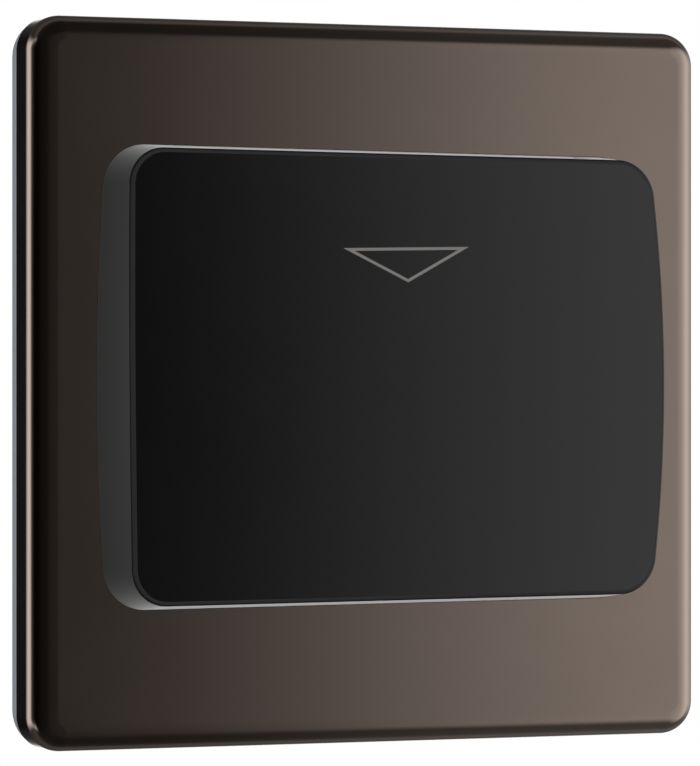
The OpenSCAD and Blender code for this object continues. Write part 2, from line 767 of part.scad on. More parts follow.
// Contact blade: the moving contact, which turns about its left end
module contact_blade() {
    color([0.78, 0.55, 0.3]) on_wall() {
        block([blade_x, press_y - blade_w / 2, blade_d - blade_t / 2],
            [blade_x + blade_l, press_y + blade_w / 2, blade_d + blade_t / 2]);
        translate([blade_x, press_y, blade_d]) rotate([90, 0, 0])
            cylinder(r = blade_eye_r, h = blade_w, center = true);
    }
}

// A flat tab through the case's back, centred on x
module back_tab(x) {
    block([x - tab_w / 2, press_y - tab_t / 2, tab_end],
        [x + tab_w / 2, press_y + tab_t / 2, switch_back + switch_wall + tab_t]);
}

// Switch tabs: common and two fixed contacts, each with its tab outside the case
module switch_tabs() {
    half_t = tab_t / 2;
    post = blade_eye_r;
    work_x = contact_x - contact_r / 2;
    color([0.83, 0.68, 0.35]) on_wall() {
        // common, with a post that carries the blade's eye
        back_tab(-term_pitch);
        block([blade_x - post, press_y - half_t, switch_back + switch_wall],
            [blade_x + post, press_y + half_t, blade_d - blade_eye_r - seat_gap]);
        // closed while a card is in
        back_tab(0);
        block([work_x - work_strip_w, press_y - half_t, switch_back + switch_wall],
            [work_x, press_y + half_t, work_contact_d - contact_h / 2]);
        translate([contact_x, press_y, work_contact_d - contact_h]) cylinder(r = contact_r, h = contact_h);
        // closed while no card is in
        block([contact_x - contact_r, press_y - half_t, rest_strip_d],
            [switch_x + switch_l / 2 + tab_l, press_y + half_t, rest_strip_d + rest_strip_w]);
        translate([contact_x, press_y, rest_contact_d]) cylinder(r = contact_r, h = contact_h);
    }
}

// Switch pins: two pins that hold the switch between the shelf and the rib
module switch_pins() {
    color([0.75, 0.76, 0.78]) on_wall() at_switch_pins() translate([0, 0, rib_y])
        cylinder(d = switch_pin_d, h = shelf_top - rib_y);
}

// Rear housing: an open box behind the wall with shelves, ears for the lever and terminal bays
module rear_housing() {
    color([0.2, 0.2, 0.21]) on_wall() difference() {
        union() {
            difference() {
                block([-housing_w / 2, housing_low, housing_back],
                    [housing_w / 2, housing_high, frame_t + flange_t]);
                block([-housing_x_in, floor_y, housing_back_in], [housing_x_in, roof_y, front_d]);
            }
            at_housing_screws() translate([-flange_out / 2 - housing_wall, -flange_w / 2, frame_t])
                cube([flange_out + 2 * housing_wall, flange_w, flange_t]);
            housing_shelves();
            housing_ears();
            at_board_screws() translate([0, 0, housing_back_in])
                cylinder(r = post_r, h = board_rear - housing_back_in);
            translate([0, spring_y, partition_d]) cylinder(r = spring_post_r, h = spring_post_l);
        }
        housing_holes();
    }
}

// The shelf over the switch, the rib under it and the walls between the terminals
module housing_shelves() {
    block([-housing_x_in, shelf_y, switch_back], [housing_x_in, shelf_top, shelf_front]);
    block([-housing_x_in, rib_y, switch_back], [housing_x_in, switch_bottom, rib_front]);
    block([-housing_x_in, floor_y, term_front], [housing_x_in, rib_y + shelf_t / 2, partition_d]);
    for (s = [-1, 1]) translate([s * term_pitch / 2, 0, 0])
        block([-shelf_t / 2, floor_y, housing_back_in], [shelf_t / 2, term_top, term_front + shelf_t / 2]);
}

// The two ears that hold the lever's pin
module housing_ears() {
    for (s = [-1, 1]) translate([s * (ear_x + ear_t / 2), 0, 0])
        block([-ear_t / 2, shelf_y, ear_back], [ear_t / 2, pivot_y + ear_reach, pivot_d + ear_reach]);
}

// Holes in the housing for the pin, the switch pins, the wires, a screwdriver and the screws
module housing_holes() {
    translate([0, pivot_y, pivot_d]) bar_x(pin_d / 2 + screw_gap / 2, housing_w / 2);
    at_switch_pins() translate([0, 0, rib_y - over])
        cylinder(d = switch_pin_d + screw_gap, h = shelf_top - rib_y + 2 * over);
    for (x = [-1, 0, 1]) translate([x * term_pitch, 0, 0]) {
        translate([0, housing_low - over, term_front - wire_back]) rotate([-90, 0, 0])
            cylinder(d = wire_entry_d, h = housing_wall + 2 * over);
        translate([0, floor_y + term_h / 2, housing_back - over])
            cylinder(d = driver_d, h = housing_wall + 2 * over);
    }
    at_housing_screws() translate([0, 0, frame_t - over])
        cylinder(d = small_screw_d + 2 * screw_gap, h = flange_t + 2 * over);
    at_board_screws() translate([0, 0, board_rear - board_screw_l - over])
        cylinder(d = small_screw_d + 2 * screw_gap, h = board_screw_l + 2 * over);
}

// Housing screws: four screws through the flange into the frame
module housing_screws() {
    color([0.75, 0.76, 0.78]) on_wall() at_housing_screws() translate([0, 0, frame_t + flange_t])
        screw(small_screw_d, 1.7 * small_screw_d, 0.6 * small_screw_d, frame_t + flange_t);
}

// A brass terminal block that stands on a floor, with its front at a given depth
module terminal_block(x, floor, front) {
    color([0.83, 0.68, 0.35]) on_wall() translate([x, floor, front]) difference() {
        block([-term_w / 2, 0, -term_l], [term_w / 2, term_h, 0]);
        translate([0, -over, -wire_back]) rotate([-90, 0, 0]) cylinder(d = wire_d, h = term_h + 2 * over);
        translate([0, term_h / 2, -term_l - over])
            cylinder(d = clamp_d + 2 * screw_gap, h = term_l - wire_back + over);
    }
}

module line_terminal() {
    terminal_block(-term_pitch, floor_y, term_front);
}

module load_terminal() {
    terminal_block(0, floor_y, term_front);
}

module neutral_terminal() {
    terminal_block(term_pitch, floor_y, term_front);
}

// Earth terminal: the same block on the back of the steel frame
module earth_terminal() {
    terminal_block(earth_x, -earth_y - term_h / 2, 0);
}

// Terminal screws: one clamp screw for each terminal, opened to take a wire
module terminal_screws() {
    shank = term_l + screw_head_gap - wire_back - wire_d / 2 - clamp_tip_gap;
    places = concat(
        [for (x = [-1, 0, 1]) [x * term_pitch, floor_y + term_h / 2, term_front]],
        [[earth_x, -earth_y, 0]]);
    color([0.75, 0.76, 0.78]) on_wall() for (p = places)
        translate(p - [0, 0, term_l + screw_head_gap]) rotate([180, 0, 0])
            screw(clamp_d, clamp_head_d, screw_head_h, shank);
}

// A brass strip from a switch tab down to the terminal under it
module tab_link(x) {
    foot_y = press_y - tab_t / 2;
    translate([x, 0, 0]) {
        block([-tab_w / 2, foot_y - tab_t, tab_end], [tab_w / 2, foot_y, switch_back - seat_gap]);
        block([-tab_w / 2, term_top, tab_end - tab_t], [tab_w / 2, foot_y, tab_end]);
        block([-tab_w / 2, term_top, tab_end - tab_t], [tab_w / 2, term_top + tab_t, link_end_d]);
    }
}

// A narrow brass strip behind the switch, from a height up to the circuit board
module board_link(x, low) {
    translate([x, 0, 0]) {
        block([-link_w / 2, low, tab_end - tab_t], [link_w / 2, link_y, tab_end]);
        block([-link_w / 2, link_y - tab_t, tab_end - tab_t], [link_w / 2, link_y, board_rear]);
    }
}

// Line busbar: from the line terminal to the switch, and on to the circuit board
module line_busbar() {
    color([0.83, 0.68, 0.35]) on_wall() {
        tab_link(-term_pitch);
        board_link(-term_pitch, press_y - tab_t);
    }
}

// Load busbar: from the switch to the load terminal
module load_busbar() {
    color([0.83, 0.68, 0.35]) on_wall() tab_link(0);
}

// Neutral link: from the neutral terminal to the circuit board
module neutral_link() {
    color([0.83, 0.68, 0.35]) on_wall() {
        board_link(term_pitch, term_top);
        translate([term_pitch, 0, 0])
            block([-link_w / 2, term_top, tab_end - tab_t], [link_w / 2, term_top + tab_t, link_end_d]);
    }
}

// Circuit board: carries the locator light and its dropper parts
module circuit_board() {
    color([0.1, 0.35, 0.2]) on_wall() difference() {
        block([-board_x, board_bottom, board_rear], [board_x, board_top, board_front]);
        at_board_screws() translate([0, 0, board_rear - over])
            cylinder(d = small_screw_d + 2 * screw_gap, h = board_t + 2 * over);
    }
}

// Board screws: two screws that hold the circuit board to its posts
module board_screws() {
    color([0.75, 0.76, 0.78]) on_wall() at_board_screws() translate([0, 0, board_front])
        screw(small_screw_d, 1.7 * small_screw_d, board_head_h, board_t + board_screw_l);
}

// Locator light: a round light with a collar and a domed top
module locator_led() {
    color([0.75, 0.85, 1, 0.8]) on_wall() translate([guide_x, guide_y, board_front]) {
        cylinder(d = led_d + 0.8, h = 1);
        cylinder(d = led_d, h = led_h - led_d / 2);
        translate([0, 0, led_h - led_d / 2]) sphere(d = led_d);
    }
}

// Dropper capacitor: a film capacitor on the board's rear
module dropper_capacitor() {
    low = board_bottom + part_rise / 2;
    color([0.75, 0.6, 0.1]) on_wall() block([-capacitor_w / 2, low, board_rear - capacitor_l],
        [capacitor_w / 2, low + capacitor_h, board_rear]);
}

// Series resistor: an axial resistor lying on the board, with bent leads
module series_resistor() {
    lift = resistor_r + part_lift;
    color([0.6, 0.45, 0.3]) on_wall() translate([0, board_bottom + part_rise, board_front + lift]) {
        bar_x(resistor_r, resistor_l);
        bar_x(lead_r, resistor_l + 2 * lead_out);
        for (s = [-1, 1]) translate([s * (resistor_l / 2 + lead_out), 0, -lift])
            cylinder(r = lead_r, h = lift + lead_r);
    }
}

// Bridge rectifier: a small four-legged block on the board
module bridge_rectifier() {
    color([0.14, 0.14, 0.15]) on_wall() translate([-part_x, board_bottom + part_rise, board_front]) {
        block([-rectifier_w / 2, -rectifier_h / 2, part_lift],
            [rectifier_w / 2, rectifier_h / 2, part_lift + rectifier_t]);
        for (sx = [-1, 1], sy = [-1, 1]) translate([sx * rectifier_w / 3, sy * rectifier_h / 2, 0])
            block([-leg_w / 2, -leg_t / 2, 0], [leg_w / 2, leg_t / 2, leg_l]);
    }
}

front_plate();
wall_gasket();
mounting_frame();
plate_clips();
card_holder();
pocket_back();
pocket_screws();
light_guide();
card_lever();
lever_pin();
lever_spring();
switch_case();
switch_lid();
switch_plunger();
contact_blade();
switch_tabs();
switch_pins();
rear_housing();
housing_screws();
line_terminal();
load_terminal();
neutral_terminal();
earth_terminal();
terminal_screws();
line_busbar();
load_busbar();
neutral_link();
circuit_board();
board_screws();
locator_led();
dropper_capacitor();
series_resistor();
bridge_rectifier();
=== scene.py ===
"""Looks of a hotel key card switch: a black nickel plate, a gloss black card holder and the works behind."""

import json
import logging
import math
from dataclasses import dataclass
from enum import Enum, IntEnum

import bmesh
import bpy
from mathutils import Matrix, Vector


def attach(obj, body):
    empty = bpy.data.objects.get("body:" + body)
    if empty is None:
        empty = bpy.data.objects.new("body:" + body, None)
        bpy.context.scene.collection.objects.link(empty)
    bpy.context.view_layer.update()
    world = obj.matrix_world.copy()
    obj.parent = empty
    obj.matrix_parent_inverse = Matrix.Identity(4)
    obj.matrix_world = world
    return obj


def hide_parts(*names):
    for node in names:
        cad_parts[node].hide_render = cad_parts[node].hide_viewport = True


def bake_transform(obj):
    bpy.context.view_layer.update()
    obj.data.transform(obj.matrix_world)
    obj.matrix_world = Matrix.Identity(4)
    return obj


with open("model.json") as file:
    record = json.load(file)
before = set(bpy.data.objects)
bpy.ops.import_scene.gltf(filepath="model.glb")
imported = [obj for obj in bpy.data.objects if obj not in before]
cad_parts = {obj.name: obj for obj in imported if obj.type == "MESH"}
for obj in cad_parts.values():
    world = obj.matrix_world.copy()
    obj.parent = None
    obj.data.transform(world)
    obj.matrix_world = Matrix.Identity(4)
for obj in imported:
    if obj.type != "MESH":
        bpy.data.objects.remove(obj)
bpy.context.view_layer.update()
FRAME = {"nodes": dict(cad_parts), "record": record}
LOG = logging.getLogger("key_card_switch")
MM = 0.001
# How far a cutting tool passes the surface that it cuts, in millimetres
OVER = 1.0
# Vertices of a CAD mesh that lie closer than this are one, in millimetres
WELD = 0.002
Piece = bpy.types.Object
Tree = bpy.types.NodeTree
Socket = bpy.types.NodeSocket
Sockets = bpy.types.NodeOutputs
Mesh = bmesh.types.BMesh
Value = float | Socket
Point = tuple[float, float]
Stops = tuple[Point, ...]
Counts = tuple[int, int]


def at(across: float, up: float, out: float) -> Vector:
    """Turns millimetres across, up and out of the wall into the object's frame, in metres."""
    return Vector((across, -out, up)) * MM


def linear(colour: str) -> tuple[float, float, float, float]:
    """Turns an sRGB hex value such as "#81746B" into linear red, green, blue and alpha."""
    parts = [int(colour[i:i + 2], 16) / 255 for i in (1, 3, 5)]
    red, green, blue = (p / 12.92 if p <= 0.04045 else ((p + 0.055) / 1.055) ** 2.4 for p in parts)
    return red, green, blue, 1.0


def add_node(tree: Tree, kind: str, inputs: dict | None = None, **settings) -> bpy.types.Node:
    """Adds a node to a shader or geometry tree.

    Args:
        tree: the tree that takes the node.
        kind: the node's type name.
        inputs: a value, or an output socket to link from, for each input by name or number.
        settings: the node's own properties.

    Returns:
        The new node.
    """
    node = tree.nodes.new(kind)
    for name, value in settings.items():
        setattr(node, name, value)
    for name, value in (inputs or {}).items():
        if isinstance(value, Socket):
            tree.links.new(value, node.inputs[name])
        else:
            node.inputs[name].default_value = value
    return node


def maths(tree: Tree, operation: str, a: Value, b: Value) -> Socket:
    """Adds a maths node on two values or sockets, and gives its result."""
    return add_node(tree, "ShaderNodeMath", {0: a, 1: b}, operation=operation).outputs[0]


class Grain(Enum):
    """How a surface was made, which sets the pattern that its finish carries."""

    POLISHED = "polished"
    ROLLED = "rolled"
    SPANGLED = "spangled"
    MOULDED = "moulded"
    WOVEN = "woven"


@dataclass(frozen=True)
class Finish:
    """A real surface: its two near colours, its gloss and the pattern that its making leaves.

    The pattern runs between the two colours and the two roughness values, and stands bump_mm deep.
    """

    name: str
    colour: str
    shade: str
    roughness: tuple[float, float]
    grain: Grain
    grain_mm: float
    bump_mm: float = 0.0
    metallic: float = 0.0
    ior: float = 1.5
    clear: float = 0.0
    coat: float = 0.0
    sheen: float = 0.0
    sheen_roughness: float = 0.5

    def pattern(self, tree: Tree) -> Socket:
        """Adds the texture of this grain.

        Args:
            tree: the material's node tree.

        Returns:
            The texture's output, from 0 to 1.
        """
        along, even = (0.04, 1.0, 1.0), (1.0, 1.0, 1.0)
        smooth, fine = 2.0, 5.0
        place = add_node(tree, "ShaderNodeTexCoord").outputs["Object"]
        scale = 1 / (self.grain_mm * MM)
        if self.grain is Grain.SPANGLED:
            cells = add_node(tree, "ShaderNodeTexVoronoi", {"Vector": place, "Scale": scale})
            return add_node(tree, "ShaderNodeSeparateColor", {0: cells.outputs["Color"]}).outputs[0]
        if self.grain is Grain.WOVEN:
            warp, weft = (add_node(tree, "ShaderNodeTexWave", {"Vector": place, "Scale": scale / math.pi},
                                   bands_direction=way).outputs["Fac"] for way in "XZ")
            return maths(tree, "MULTIPLY", warp, weft)
        stretch = along if self.grain is Grain.ROLLED else even
        turned = add_node(tree, "ShaderNodeMapping", {"Vector": place, "Scale": stretch}).outputs[0]
        detail = smooth if self.grain is Grain.POLISHED else fine
        return add_node(tree, "ShaderNodeTexNoise",
                        {"Vector": turned, "Scale": scale, "Detail": detail}).outputs["Fac"]

    def material(self) -> bpy.types.Material:
        """Makes the material, or gives it again if it is already made.

        Returns:
            The finish as a Blender material.
        """
        made = bpy.data.materials.get(self.name)
        if made:
            return made
        made = bpy.data.materials.new(self.name)
        made.use_nodes = True
        tree = made.node_tree
        shader = tree.nodes["Principled BSDF"]
        uniform = {"Metallic": self.metallic, "Transmission Weight": self.clear, "Coat Weight": self.coat,
                   "Sheen Weight": self.sheen, "Sheen Roughness": self.sheen_roughness, "IOR": self.ior}
        for name, value in uniform.items():
            shader.inputs[name].default_value = value
        pattern = self.pattern(tree)
        mixed = add_node(tree, "ShaderNodeMix", {0: pattern, 6: linear(self.colour), 7: linear(self.shade)},
                         data_type="RGBA")
        tree.links.new(mixed.outputs[2], shader.inputs["Base Color"])
        low, high = self.roughness
        gloss = add_node(tree, "ShaderNodeMapRange", {"Value": pattern, "To Min": low, "To Max": high})
        tree.links.new(gloss.outputs[0], shader.inputs["Roughness"])
        if self.bump_mm:
            bump = add_node(tree, "ShaderNodeBump", {"Height": pattern, "Distance": self.bump_mm * MM})
            tree.links.new(bump.outputs[0], shader.inputs["Normal"])
        return made


# Black nickel plating on pressed steel: a warm dark mirror with a faint breath of haze
BLACK_NICKEL = Finish("black_nickel_plating", "#81746B", "#7D7068", (0.12, 0.15), Grain.POLISHED, 12,
                      metallic=1)
# Foamed rubber: a pale bluish grey skin, a little shiny where it was pressed
PALE_RUBBER = Finish("pale_foam_rubber", "#8A8F95", "#82888E", (0.18, 0.3), Grain.MOULDED, 0.6, 0.01)
# Zinc plate on sheet steel: cool grey with soft spangles
ZINC_STEEL = Finish("zinc_plated_steel", "#C3C6C9", "#B4B8BC", (0.3, 0.42), Grain.SPANGLED, 0.7, metallic=1)
# Rolled spring steel: bright, with fine lines along the strip
SPRING_STEEL = Finish("rolled_spring_steel", "#C9CBCD", "#B3B6BA", (0.2, 0.34), Grain.ROLLED, 0.4, 0.002,
                      metallic=1)
# Gloss black ABS from a polished mould: nearly black, with clear reflections
BLACK_GLOSS = Finish("gloss_black_abs", "#030303", "#040404", (0.08, 0.11), Grain.POLISHED, 15)
# The same ABS from a textured mould: black with little gloss, and paler the more grazing the view
BLACK_SATIN = Finish("satin_black_abs", "#0C0C0C", "#0A0A0A", (0.24, 0.28), Grain.MOULDED, 0.35, 0.004,
                     ior=1.1, sheen=1, sheen_roughness=0.33)
# The same ABS on the fillet round the front, coloured lighter than the front: a painted highlight along the
# edge, between gloss and satin
EDGE_PAINTED_HIGHLIGHT = Finish("black_abs_edge_painted_highlight", "#2B2B2B", "#282828", (0.35, 0.45), Grain.MOULDED, 0.4, ior=1.2)
# Pale grey on the chamfered lip of the card slot: a painted highlight, the bright line along the slot's edge
LIP_PAINTED_HIGHLIGHT = Finish("slot_lip_painted_highlight", "#CFCFCF", "#C8C8C8", (0.35, 0.45), Grain.MOULDED, 0.4)
# Glass-filled nylon: dull black with a fine spark-eroded skin
BLACK_MATTE = Finish("matte_black_nylon", "#1E1E20", "#262628", (0.5, 0.65), Grain.MOULDED, 0.5, 0.015)
# Cast acrylic: water clear with polished ends
CLEAR_ACRYLIC = Finish("clear_acrylic", "#F4FAFD", "#EDF6FB", (0.03, 0.06), Grain.POLISHED, 8, clear=1,
                       ior=1.49)
# Acetal: milky white and slightly waxy
WHITE_ACETAL = Finish("white_acetal", "#EDEDE6", "#E4E4DC", (0.3, 0.4), Grain.MOULDED, 0.8, 0.006)
# Nickel plated screw steel: bright and slightly worn
BRIGHT_STEEL = Finish("bright_plated_steel", "#CDCFD2", "#B9BCC0", (0.16, 0.3), Grain.MOULDED, 1.2,
                      metallic=1)
# Phenolic moulding: brick red with faint flecks of filler
RED_PHENOLIC = Finish("red_phenolic", "#A8362C", "#932A22", (0.32, 0.48), Grain.MOULDED, 0.5, 0.008)
# Drawn brass: warm yellow with lines along the bar
BRASS = Finish("drawn_brass", "#D9B36C", "#C79C50", (0.2, 0.36), Grain.ROLLED, 0.5, 0.002, metallic=1)
# Glass laminate under green solder mask: the weave shows through
BOARD_LAMINATE = Finish("green_board_laminate", "#1F6B3C", "#195A32", (0.25, 0.35), Grain.WOVEN, 0.5, 0.006)
# Epoxy light lens: water clear with a cool tint
LED_LENS = Finish("cool_epoxy_lens", "#D6E6FA", "#C8DCF5", (0.05, 0.1), Grain.POLISHED, 3, clear=0.85,
                  ior=1.54)
# Dipped polyester film: yellow and glossy
FILM_YELLOW = Finish("dipped_yellow_film", "#C99A2B", "#BC8C20", (0.12, 0.22), Grain.POLISHED, 2, 0.02,
                     coat=0.4)
# Lacquered carbon film: tan and satin
RESISTOR_COAT = Finish("tan_resistor_lacquer", "#B49468", "#A68456", (0.28, 0.4), Grain.MOULDED, 0.6, 0.01)
# Transfer-moulded epoxy: flat black with a fine sanded skin
BLACK_EPOXY = Finish("black_epoxy", "#202022", "#28282A", (0.45, 0.6), Grain.MOULDED, 0.3, 0.01)
# Pad-printed ink: warm light grey, thin and even
GREY_INK = Finish("grey_pad_ink", "#76726F", "#716D6A", (0.35, 0.45), Grain.MOULDED, 0.3)

FINISHES = {
    "black_nickel": BLACK_NICKEL, "pale_rubber": PALE_RUBBER, "zinc_steel": ZINC_STEEL,
    "spring_steel": SPRING_STEEL, "black_gloss": BLACK_GLOSS, "black_matte": BLACK_MATTE,
    "clear_acrylic": CLEAR_ACRYLIC, "white_acetal": WHITE_ACETAL, "bright_steel": BRIGHT_STEEL,
    "red_phenolic": RED_PHENOLIC, "brass": BRASS, "board_laminate": BOARD_LAMINATE, "led_lens": LED_LENS,
    "film_yellow": FILM_YELLOW, "resistor_coat": RESISTOR_COAT, "black_epoxy": BLACK_EPOXY,
}


def new_object(name: str, bm: Mesh, finishes: tuple[Finish, ...]) -> Piece:
    """Turns a bmesh into a smooth-shaded object with its materials.

    Args:
        name: the object's name.
        bm: the mesh, which is freed.
        finishes: the finishes, in the order of the faces' material numbers.

    Returns:
        The new object, linked to the scene.
    """
    mesh = bpy.data.meshes.new(name)
    bm.to_mesh(mesh)
    bm.free()
    for finish in finishes:
        mesh.materials.append(finish.material())
    obj = bpy.data.objects.new(name, mesh)
    bpy.context.scene.collection.objects.link(obj)
    crisp(obj)
    return obj


def crisp(obj: Piece, crease_deg: float = 30) -> None:
    """Shades a mesh smooth, except across edges sharper than an angle."""
    obj.data.shade_smooth()
    obj.data.set_sharp_from_angle(angle=math.radians(crease_deg))


def bake(obj: Piece) -> None:
    """Turns an object's modifiers into its plain mesh."""
    bpy.context.view_layer.update()
    evaluated = obj.evaluated_get(bpy.context.evaluated_depsgraph_get())
    old = obj.data
    obj.data = bpy.data.meshes.new_from_object(evaluated)
    obj.modifiers.clear()
    bpy.data.meshes.remove(old)


def carve(obj: Piece, tool: Piece, operation: str = "DIFFERENCE") -> None:
    """Cuts a closed mesh with another, or joins the two, and removes the other.

    Args:
        obj: the mesh that is kept.
        tool: the mesh that cuts or joins.
        operation: DIFFERENCE or UNION.
    """
    boolean = obj.modifiers.new("carve", "BOOLEAN")
    boolean.object = tool
    boolean.operation = operation
    boolean.solver = "EXACT"
    bake(obj)
    bpy.data.objects.remove(tool)


def loft(bm: Mesh, rings: list[list[Vector]], material: int = 0) -> list[list]:
    """Joins closed rings of equal length with quads.

    Args:
        bm: the mesh that takes the faces.
        rings: the rings, in order.
        material: the faces' material number.

    Returns:
        The new vertices, ring by ring.
    """
    verts = [[bm.verts.new(p) for p in ring] for ring in rings]
    for a, b in zip(verts, verts[1:]):
        bridge(bm, a, b, material)
    return verts


def bridge(bm: Mesh, a: list, b: list, material: int = 0) -> None:
    """Joins two closed rings of vertices with quads."""
    for i in range(len(a)):
        j = (i + 1) % len(a)
        bm.faces.new((a[i], a[j], b[j], b[i])).material_index = material


def lid(bm: Mesh, rings: list[list], material: int = 0) -> None:
    """Closes the first and the last ring of a loft, and turns the faces outwards."""
    for ring in (rings[0], rings[-1]):
        bm.faces.new(ring).material_index = material
    bmesh.ops.recalc_face_normals(bm, faces=bm.faces)


def fill(bm: Mesh, *loops: list) -> None:
    """Fills the flat space between an outer and an inner loop of vertices with triangles."""
    edges = []
    for loop in loops:
        edges += [bm.edges.get((a, b)) for a, b in zip(loop, loop[1:] + loop[:1])]
    bmesh.ops.triangle_fill(bm, use_beauty=True, use_dissolve=False, edges=edges)


def block(a: Vector, b: Vector, material: int = 0, finishes: tuple[Finish, ...] = ()) -> Piece:
    """Makes a box between two opposite corners, to cut or join with.

    Args:
        a: one corner.
        b: the opposite corner.
        material: the faces' material number.
        finishes: the finishes of the piece that it cuts.

    Returns:
        The box.
    """
    (x0, x1), (y0, y1), (z0, z1) = (sorted(pair) for pair in zip(a, b))
    rings = [[Vector(p) for p in ((x0, y0, z), (x1, y0, z), (x1, y1, z), (x0, y1, z))] for z in (z0, z1)]
    bm = bmesh.new()
    lid(bm, loft(bm, rings, material), material)
    return new_object("tool_block", bm, finishes)


def rod(foot: Vector, radius: float, length: float, material: int, finishes: tuple[Finish, ...]) -> Piece:
    """Makes a rod that stands out of the wall, to cut or join with.

    Args:
        foot: the middle of its rear end.
        radius: its radius, in millimetres.
        length: its length, in millimetres.
        material: the faces' material number.
        finishes: the finishes of the piece that it cuts or joins.

    Returns:
        The rod.
    """
    sides = 48
    turns = [math.tau * i / sides for i in range(sides)]
    ring = [Vector((math.cos(a), 0, math.sin(a))) * radius * MM for a in turns]
    bm = bmesh.new()
    rings = loft(bm, [[foot + p for p in ring], [foot + p + at(0, 0, length) for p in ring]], material)
    lid(bm, rings, material)
    return new_object("tool_rod", bm, finishes)


def dress(obj: Piece, body: str, slot: str, *nodes: str) -> None:
    """Puts a finished piece on its body and in the place of its CAD nodes, and reports it.

    Args:
        obj: the piece.
        body: the body that it rides on.
        slot: the record's material slot; not used.
        nodes: the CAD nodes that it stands for.
    """
    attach(obj, body)
    if nodes:
        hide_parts(*nodes)
    LOG.info("%s: %d faces on %s", obj.name, len(obj.data.polygons), body)


class Skin(IntEnum):
    """The material numbers of the holder's surfaces. BROW and LIP carry painted highlights."""

    FRONT = 0
    SIDE = 1
    INNER = 2
    BROW = 3
    LIP = 4


